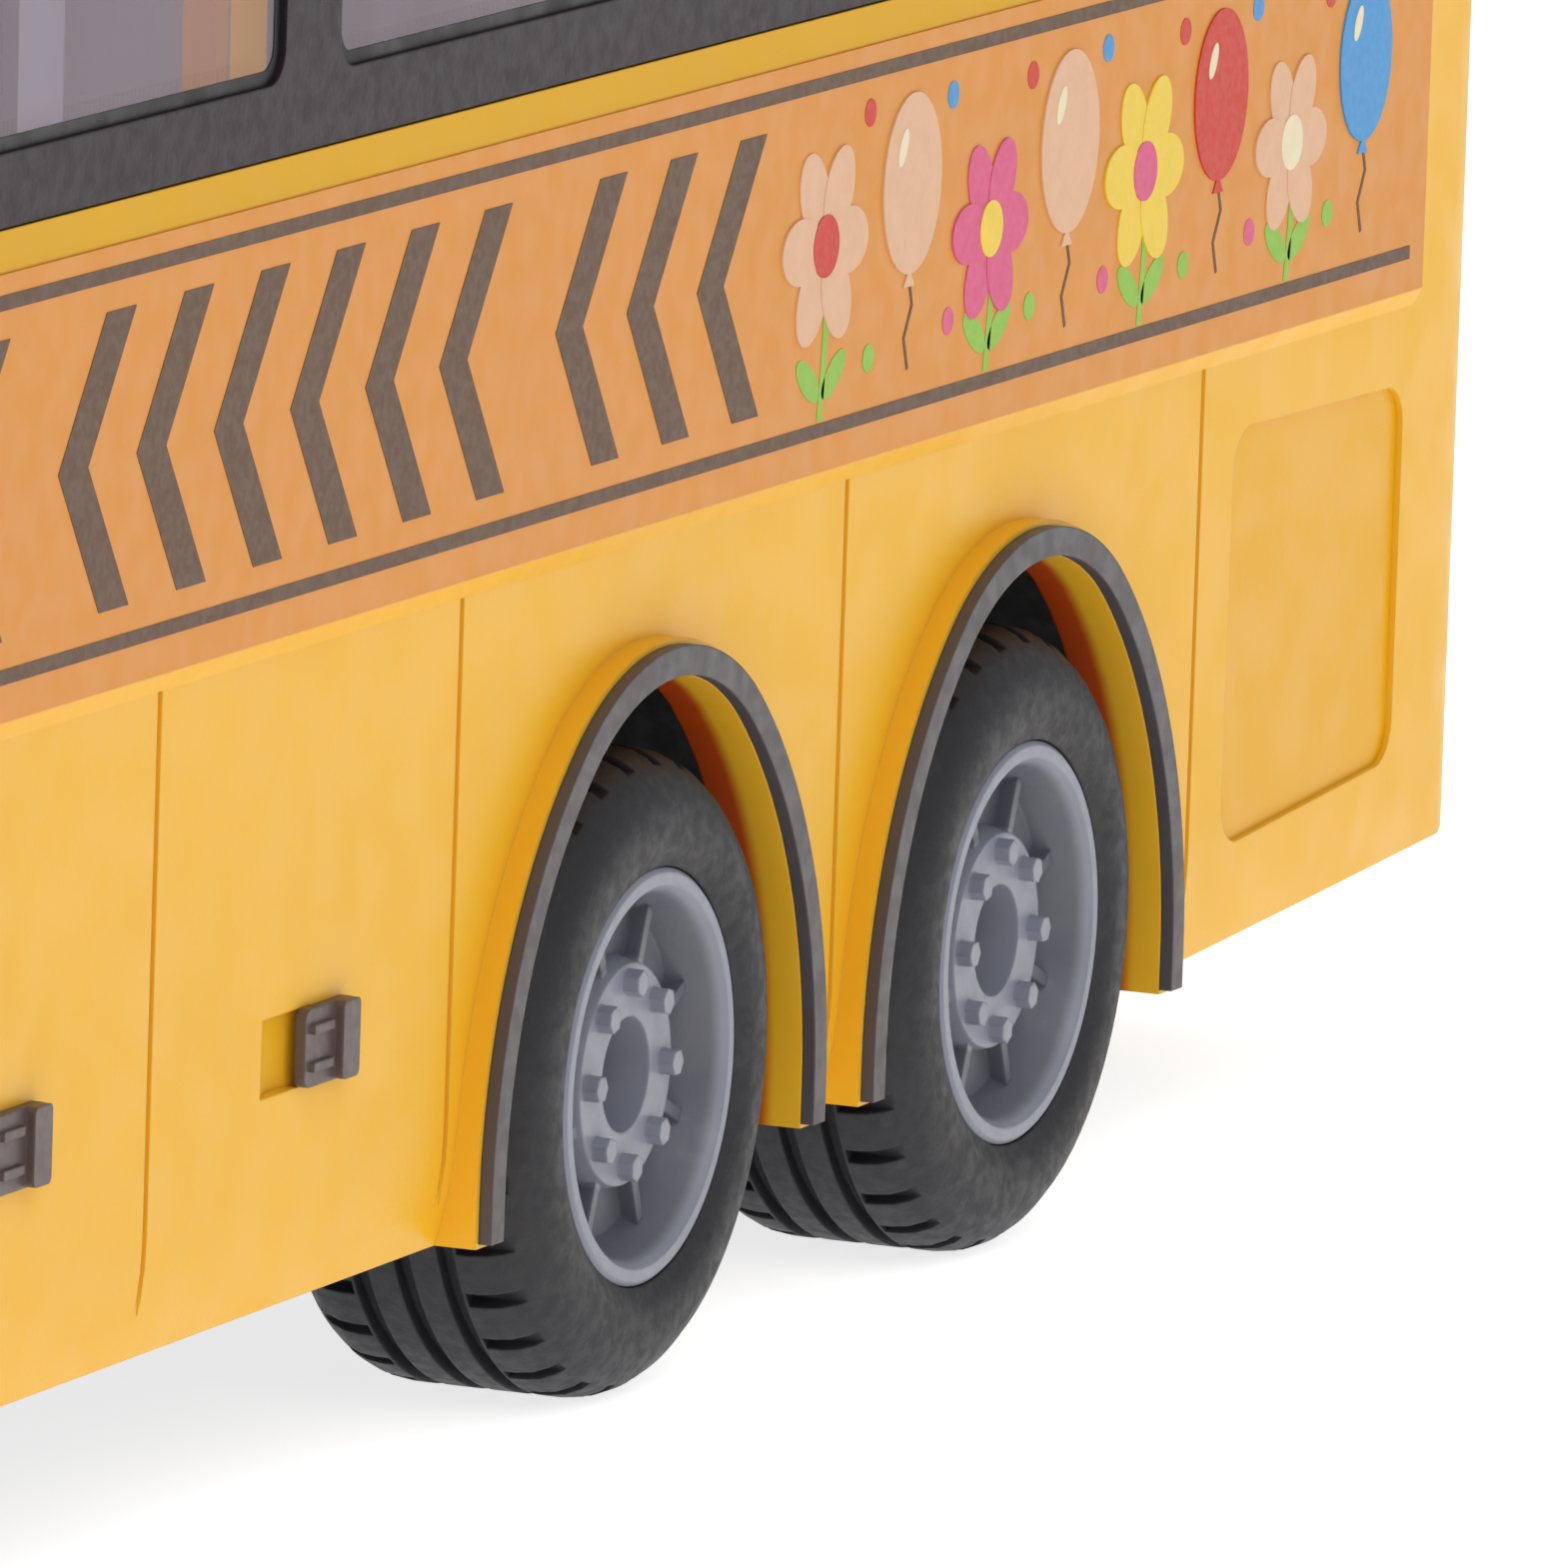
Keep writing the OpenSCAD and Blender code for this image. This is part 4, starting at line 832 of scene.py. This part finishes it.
@dataclass
class Band:
    """The orange film on the raised band and its print."""

    face_mm: float = 41.8
    layer_mm: float = 0.03
    sunk_mm: float = 0.01
    low_line_z: float = 39.85
    high_line_z: float = 55.0
    line_mm: float = 0.62
    line_x: tuple[float, float] = (-117.0, 147.6)
    chevron_tall: float = 12.2
    chevron_foot: float = 41.3
    chevron_reach: float = 4.2
    chevron_stroke: float = 2.8
    chevron_pitch: float = 7.4
    chevron_x: tuple[float, float] = (-96.0, 73.5)
    chevron_gap_every: int = 6
    chevron_gap: float = 1.6
    print_x: float = 79.0
    motifs: tuple[Printed, ...] = (
        Printed(Motif.FLOWER, 0.0, 47.9, 4.6, Ink.PEACH, Ink.RED),
        Printed(Motif.BALLOON, 9.4, 49.6, 4.0, Ink.PEACH),
        Printed(Motif.FLOWER, 18.4, 46.6, 4.2, Ink.PINK, Ink.YELLOW),
        Printed(Motif.BALLOON, 27.2, 49.5, 4.1, Ink.PEACH),
        Printed(Motif.FLOWER, 36.0, 47.2, 4.5, Ink.YELLOW, Ink.PINK),
        Printed(Motif.BALLOON, 44.8, 49.7, 3.9, Ink.RED),
        Printed(Motif.FLOWER, 53.4, 46.6, 4.2, Ink.PEACH, Ink.CREAM),
        Printed(Motif.BALLOON, 62.2, 49.6, 3.9, Ink.BLUE),
    )
    dots: tuple[Point, ...] = (
        (4.6, 53.2), (5.2, 42.4), (13.8, 53.0), (14.0, 43.0), (22.8, 52.9), (23.2, 42.6), (31.4, 53.2),
        (31.6, 42.8), (40.4, 53.0), (41.0, 42.4), (49.0, 53.2), (48.8, 43.0), (57.8, 52.9), (58.2, 42.8),
    )
    dot_inks: tuple[Ink, ...] = (Ink.RED, Ink.GREEN, Ink.BLUE, Ink.PINK)
    dot_mm: float = 0.62
    petal_count: int = 6
    petal_out: float = 0.56
    petal_len: float = 0.46
    petal_wide: float = 0.32
    heart_share: float = 0.3
    stem_mm: float = 0.55
    string_mm: float = 0.22
    shapes: dict[Ink, list[tuple[Outline, int]]] = field(default_factory=dict)

    def dress(self, shop: Workshop) -> None:
        """Dresses the films.

        Args:
            shop: The workshop.
        """
        for side in Side:
            shop.dress(FILM, f"side_decal_{side.word}")

    def ink(self, ink: Ink, outline: Outline, layer: int = 1) -> None:
        """Notes one printed shape.

        Args:
            ink: Its ink.
            outline: Its outline.
            layer: Its layer over the film.
        """
        self.shapes.setdefault(ink, []).append((outline, layer))

    def lines(self) -> None:
        """Draws the two pinstripes."""
        for z in (self.low_line_z, self.high_line_z):
            x0, x1 = self.line_x
            half = self.line_mm / 2
            self.ink(Ink.BROWN, [(x0, z - half), (x1, z - half), (x1, z + half), (x0, z + half)])

    def chevrons(self) -> None:
        """Draws the row of tall chevrons, with a gap after each group."""
        x, number = self.chevron_x[0], 0
        low, tall = self.chevron_foot, self.chevron_tall
        reach, stroke = self.chevron_reach, self.chevron_stroke
        while x + reach + stroke < self.chevron_x[1]:
            middle = low + tall / 2
            self.ink(Ink.BROWN, [
                (x + reach, low), (x + reach + stroke, low), (x + stroke, middle),
                (x + reach + stroke, low + tall), (x + reach, low + tall), (x, middle),
            ])
            number += 1
            x += self.chevron_pitch * (self.chevron_gap if number % self.chevron_gap_every == 0 else 1)

    def flower(self, centre: Point, size: float, petals: Ink, heart: Ink) -> None:
        """Draws a flower on its stem.

        Args:
            centre: Middle of the flower.
            size: Its radius.
            petals: Ink of the petals.
            heart: Ink of its heart.
        """
        x, z = centre
        foot = self.low_line_z + 0.4
        self.ink(Ink.GREEN, ribbon([(x, z), (x + 0.4, (z + foot) / 2), (x, foot)], self.stem_mm))
        for turn, side in ((35, 1), (145, -1)):
            leaf = (x + side * 1.4, foot + 1.9)
            self.ink(Ink.GREEN, ellipse(leaf, 1.5, 0.65, turn))
        for k in range(self.petal_count):
            a = 2 * math.pi * k / self.petal_count
            out = self.petal_out * size
            at = (x + out * math.cos(a), z + out * math.sin(a))
            petal = ellipse(at, self.petal_len * size, self.petal_wide * size, math.degrees(a))
            self.ink(petals, petal, 2 + k % 2)
        self.ink(heart, ellipse(centre, self.heart_share * size, self.heart_share * size), 4)

    def balloon(self, centre: Point, size: float, ink: Ink) -> None:
        """Draws a balloon with its string.

        Args:
            centre: Middle of the balloon.
            size: Half its height.
            ink: Its ink.
        """
        x, z = centre
        foot = z - size
        string = [(x, foot), (x + 0.5, foot - 1.4), (x - 0.3, foot - 2.8), (x + 0.2, foot - 4.2)]
        self.ink(Ink.BROWN, ribbon(string, self.string_mm))
        self.ink(ink, [(x, foot + 0.3), (x + 0.6, foot - 0.55), (x - 0.6, foot - 0.55)], 2)
        self.ink(ink, ellipse(centre, 0.8 * size, size), 3)
        self.ink(Ink.CREAM, ellipse((x - 0.3 * size, z + 0.42 * size), 0.1 * size, 0.22 * size, -25), 4)

    def picture(self) -> None:
        """Draws flowers, balloons and dots behind the chevrons."""
        for motif in self.motifs:
            centre = (self.print_x + motif.along_mm, motif.height_mm)
            if motif.kind is Motif.FLOWER:
                self.flower(centre, motif.size_mm, motif.ink, motif.heart)
            else:
                self.balloon(centre, motif.size_mm, motif.ink)
        for number, (along, z) in enumerate(self.dots):
            ink = self.dot_inks[number % len(self.dot_inks)]
            self.ink(ink, ellipse((self.print_x + along, z), self.dot_mm, self.dot_mm, steps=24))

    def build(self, shop: Workshop) -> None:
        """Builds the print on both sides.

        Args:
            shop: The workshop.
        """
        self.lines()
        self.chevrons()
        self.picture()
        for side in Side:
            for ink, shapes in self.shapes.items():
                bm = bmesh.new()
                for outline, layer in shapes:
                    lay(bm, outline, side, self.face_mm - self.sunk_mm, self.face_mm + layer * self.layer_mm)
                shop.piece(f"print_{ink.name.lower()}_{side.word}", bm, ink.finish(), "bus", "printed_film")


@dataclass
class Flank:
    """Arch trims and latch handles."""

    def dress(self, shop: Workshop) -> None:
        """Dresses trims and handles.

        Args:
            shop: The workshop.
        """
        for side in Side:
            for axle in Axle:
                shop.dress(TRIM, f"arch_trim_{axle.word}_{side.word}")
            shop.dress(HANDLE, f"hatch_handles_{side.word}")


@dataclass
class Wheels:
    """Six wheels: rubber tyres on grey rims, and the rear axles."""

    tyre_smooth_deg: float = 32.0

    def dress(self, shop: Workshop) -> None:
        """Dresses tyres, rims and axles.

        Args:
            shop: The workshop.
        """
        for axle in Axle:
            for side in Side:
                shop.dress(TYRE, f"tyre_{axle.word}_{side.word}", smooth_deg=self.tyre_smooth_deg)
                shop.dress(RIM, f"rim_{axle.word}_{side.word}")
        shop.dress(STEEL, "drive_axle", "tag_axle")


@dataclass
class Ends:
    """Front and tail: glass, grille, lamps, wipers and mirrors."""

    glass_smooth_deg: float = 20.0
    arm_smooth_deg: float = 35.0

    def dress(self, shop: Workshop) -> None:
        """Dresses both ends.

        Args:
            shop: The workshop.
        """
        shop.dress(SCREEN, "windscreen", "rear_window", smooth_deg=self.glass_smooth_deg)
        shop.dress(BLACK, "front_grille", "wipers", "mirror_left", "mirror_right",
                   smooth_deg=self.arm_smooth_deg)
        shop.dress(LENS, "headlight_lenses")
        shop.dress(CHROME, "headlight_reflectors")
        shop.dress(LED, "headlight_leds")
        shop.dress(RED, "tail_lights")


@dataclass
class Inside:
    """Seats, electrics, drive and steering."""

    def dress(self, shop: Workshop) -> None:
        """Dresses everything inside the body.

        Args:
            shop: The workshop.
        """
        shop.dress(SEAT, "seat_deck")
        shop.dress(BOARD, "circuit_board")
        shop.dress(CELL, "battery_pack")
        shop.dress(BLACK, "chassis_pan", "battery_cover", "power_switch", "steering_servo", "tie_rod",
                   "knuckle_left", "knuckle_right")
        shop.dress(STEEL, "battery_cover_screw", "chassis_screws", "drive_motor", "reduction_shaft")
        shop.dress(GEAR, "gearbox_frame", "motor_pinion", "reduction_gear", "axle_gear", "servo_arm")


@dataclass(frozen=True)
class Lamp:
    """One soft square light: where it hangs, what it faces, its side and its power in watts."""

    name: str
    place_m: Colour
    aim_m: Colour
    side_m: float
    power_w: float


@dataclass
class Studio:
    """White floor, soft lights and the camera."""

    floor_half_m: float = 6.0
    floor_colour: Colour = (0.9, 0.9, 0.9)
    floor_glow: float = 0.84
    floor_cloud_mm: float = 60.0
    floor_swing: float = 0.005
    floor_roughness: float = 0.9
    floor_specular: float = 0.1
    world_strength: float = 0.36
    eye_m: Colour = (-0.7926, -0.4127, 0.1783)
    azimuth_deg: float = -66.89
    elevation_deg: float = 9.23
    roll_deg: float = 1.92
    lens_mm: float = 509.4
    sensor_mm: float = 36.0
    clip_m: Point = (0.01, 50.0)
    lamps: tuple[Lamp, ...] = (
        Lamp("key_light", (-0.9, -1.3, 1.5), (0.05, 0.0, 0.05), 1.6, 12.6),
        Lamp("top_light", (0.1, 0.2, 2.0), (0.0, 0.0, 0.0), 2.2, 9.5),
        Lamp("tail_light", (1.5, -0.7, 0.9), (0.1, 0.0, 0.05), 1.2, 1.2),
    )

    def floor(self) -> None:
        """Lays the floor."""
        shading = Shading("studio_floor")
        tone = shading.mix(shading.noise(self.floor_cloud_mm, 2.0),
                           tinted(self.floor_colour, 1 - self.floor_swing),
                           tinted(self.floor_colour, 1 + self.floor_swing))
        shading.link(tone, shading.shader.inputs["Base Color"])
        shading.link(tone, shading.shader.inputs["Emission Color"])
        shading.shader.inputs["Emission Strength"].default_value = self.floor_glow
        shading.shader.inputs["Roughness"].default_value = self.floor_roughness
        shading.shader.inputs["Specular IOR Level"].default_value = self.floor_specular
        bm = bmesh.new()
        bmesh.ops.create_grid(bm, x_segments=1, y_segments=1, size=self.floor_half_m)
        mesh = bpy.data.meshes.new("studio_floor")
        bm.to_mesh(mesh)
        bm.free()
        mesh.materials.append(shading.material)
        made = bpy.data.objects.new("studio_floor", mesh)
        bpy.context.scene.collection.objects.link(made)

    def world(self) -> None:
        """Lights the scene evenly and keeps the background white."""
        world = bpy.data.worlds.new("studio_world")
        world.use_nodes = True
        tree = world.node_tree
        tree.nodes.clear()
        output = tree.nodes.new("ShaderNodeOutputWorld")
        seen = tree.nodes.new("ShaderNodeBackground")
        seen.inputs["Color"].default_value = (1, 1, 1, 1)
        seen.inputs["Strength"].default_value = 1.0
        light = tree.nodes.new("ShaderNodeBackground")
        light.inputs["Color"].default_value = (1, 1, 1, 1)
        light.inputs["Strength"].default_value = self.world_strength
        path = tree.nodes.new("ShaderNodeLightPath")
        pick = tree.nodes.new("ShaderNodeMixShader")
        tree.links.new(path.outputs["Is Camera Ray"], pick.inputs["Fac"])
        tree.links.new(light.outputs["Background"], pick.inputs[1])
        tree.links.new(seen.outputs["Background"], pick.inputs[2])
        tree.links.new(pick.outputs["Shader"], output.inputs["Surface"])
        bpy.context.scene.world = world

    def hang(self, lamp: Lamp) -> None:
        """Hangs one light.

        Args:
            lamp: The light.
        """
        data = bpy.data.lights.new(lamp.name, "AREA")
        data.shape = "SQUARE"
        data.size = lamp.side_m
        data.energy = lamp.power_w
        made = bpy.data.objects.new(lamp.name, data)
        bpy.context.scene.collection.objects.link(made)
        made.location = lamp.place_m
        made.rotation_mode = "QUATERNION"
        made.rotation_quaternion = (Vector(lamp.aim_m) - Vector(lamp.place_m)).to_track_quat("-Z", "Y")

    def camera(self) -> None:
        """Puts the camera where the photo was taken from."""
        az, el, roll = (math.radians(a) for a in (self.azimuth_deg, self.elevation_deg, self.roll_deg))
        back = Vector((math.sin(az) * math.cos(el), -math.cos(az) * math.cos(el), math.sin(el)))
        right = Vector((math.cos(az), math.sin(az), 0))
        up = back.cross(right)
        across = math.cos(roll) * right + math.sin(roll) * up
        upright = -math.sin(roll) * right + math.cos(roll) * up
        data = bpy.data.cameras.new("photo_camera")
        data.sensor_width = self.sensor_mm
        data.lens = self.lens_mm
        data.clip_start, data.clip_end = self.clip_m
        made = bpy.data.objects.new("photo_camera", data)
        bpy.context.scene.collection.objects.link(made)
        turn = Matrix((across, upright, back)).transposed().to_4x4()
        made.matrix_world = Matrix.Translation(Vector(self.eye_m)) @ turn
        bpy.context.scene.camera = made

    def build(self) -> None:
        """Builds the studio."""
        self.floor()
        self.world()
        for lamp in self.lamps:
            self.hang(lamp)
        self.camera()
        bpy.context.scene.view_settings.view_transform = "Standard"


def main() -> None:
    """Builds and dresses the coach in order."""
    logging.basicConfig(level=logging.INFO, format="%(name)s: %(message)s")
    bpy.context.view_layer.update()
    shop = Workshop(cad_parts)
    band, windows = Band(), SideWindows()
    for part in (Body(), windows, band, Flank(), Wheels(), Ends(), Inside()):
        part.dress(shop)
    windows.build(shop)
    band.build(shop)
    Studio().build()


if __name__ == "__main__":
    main()
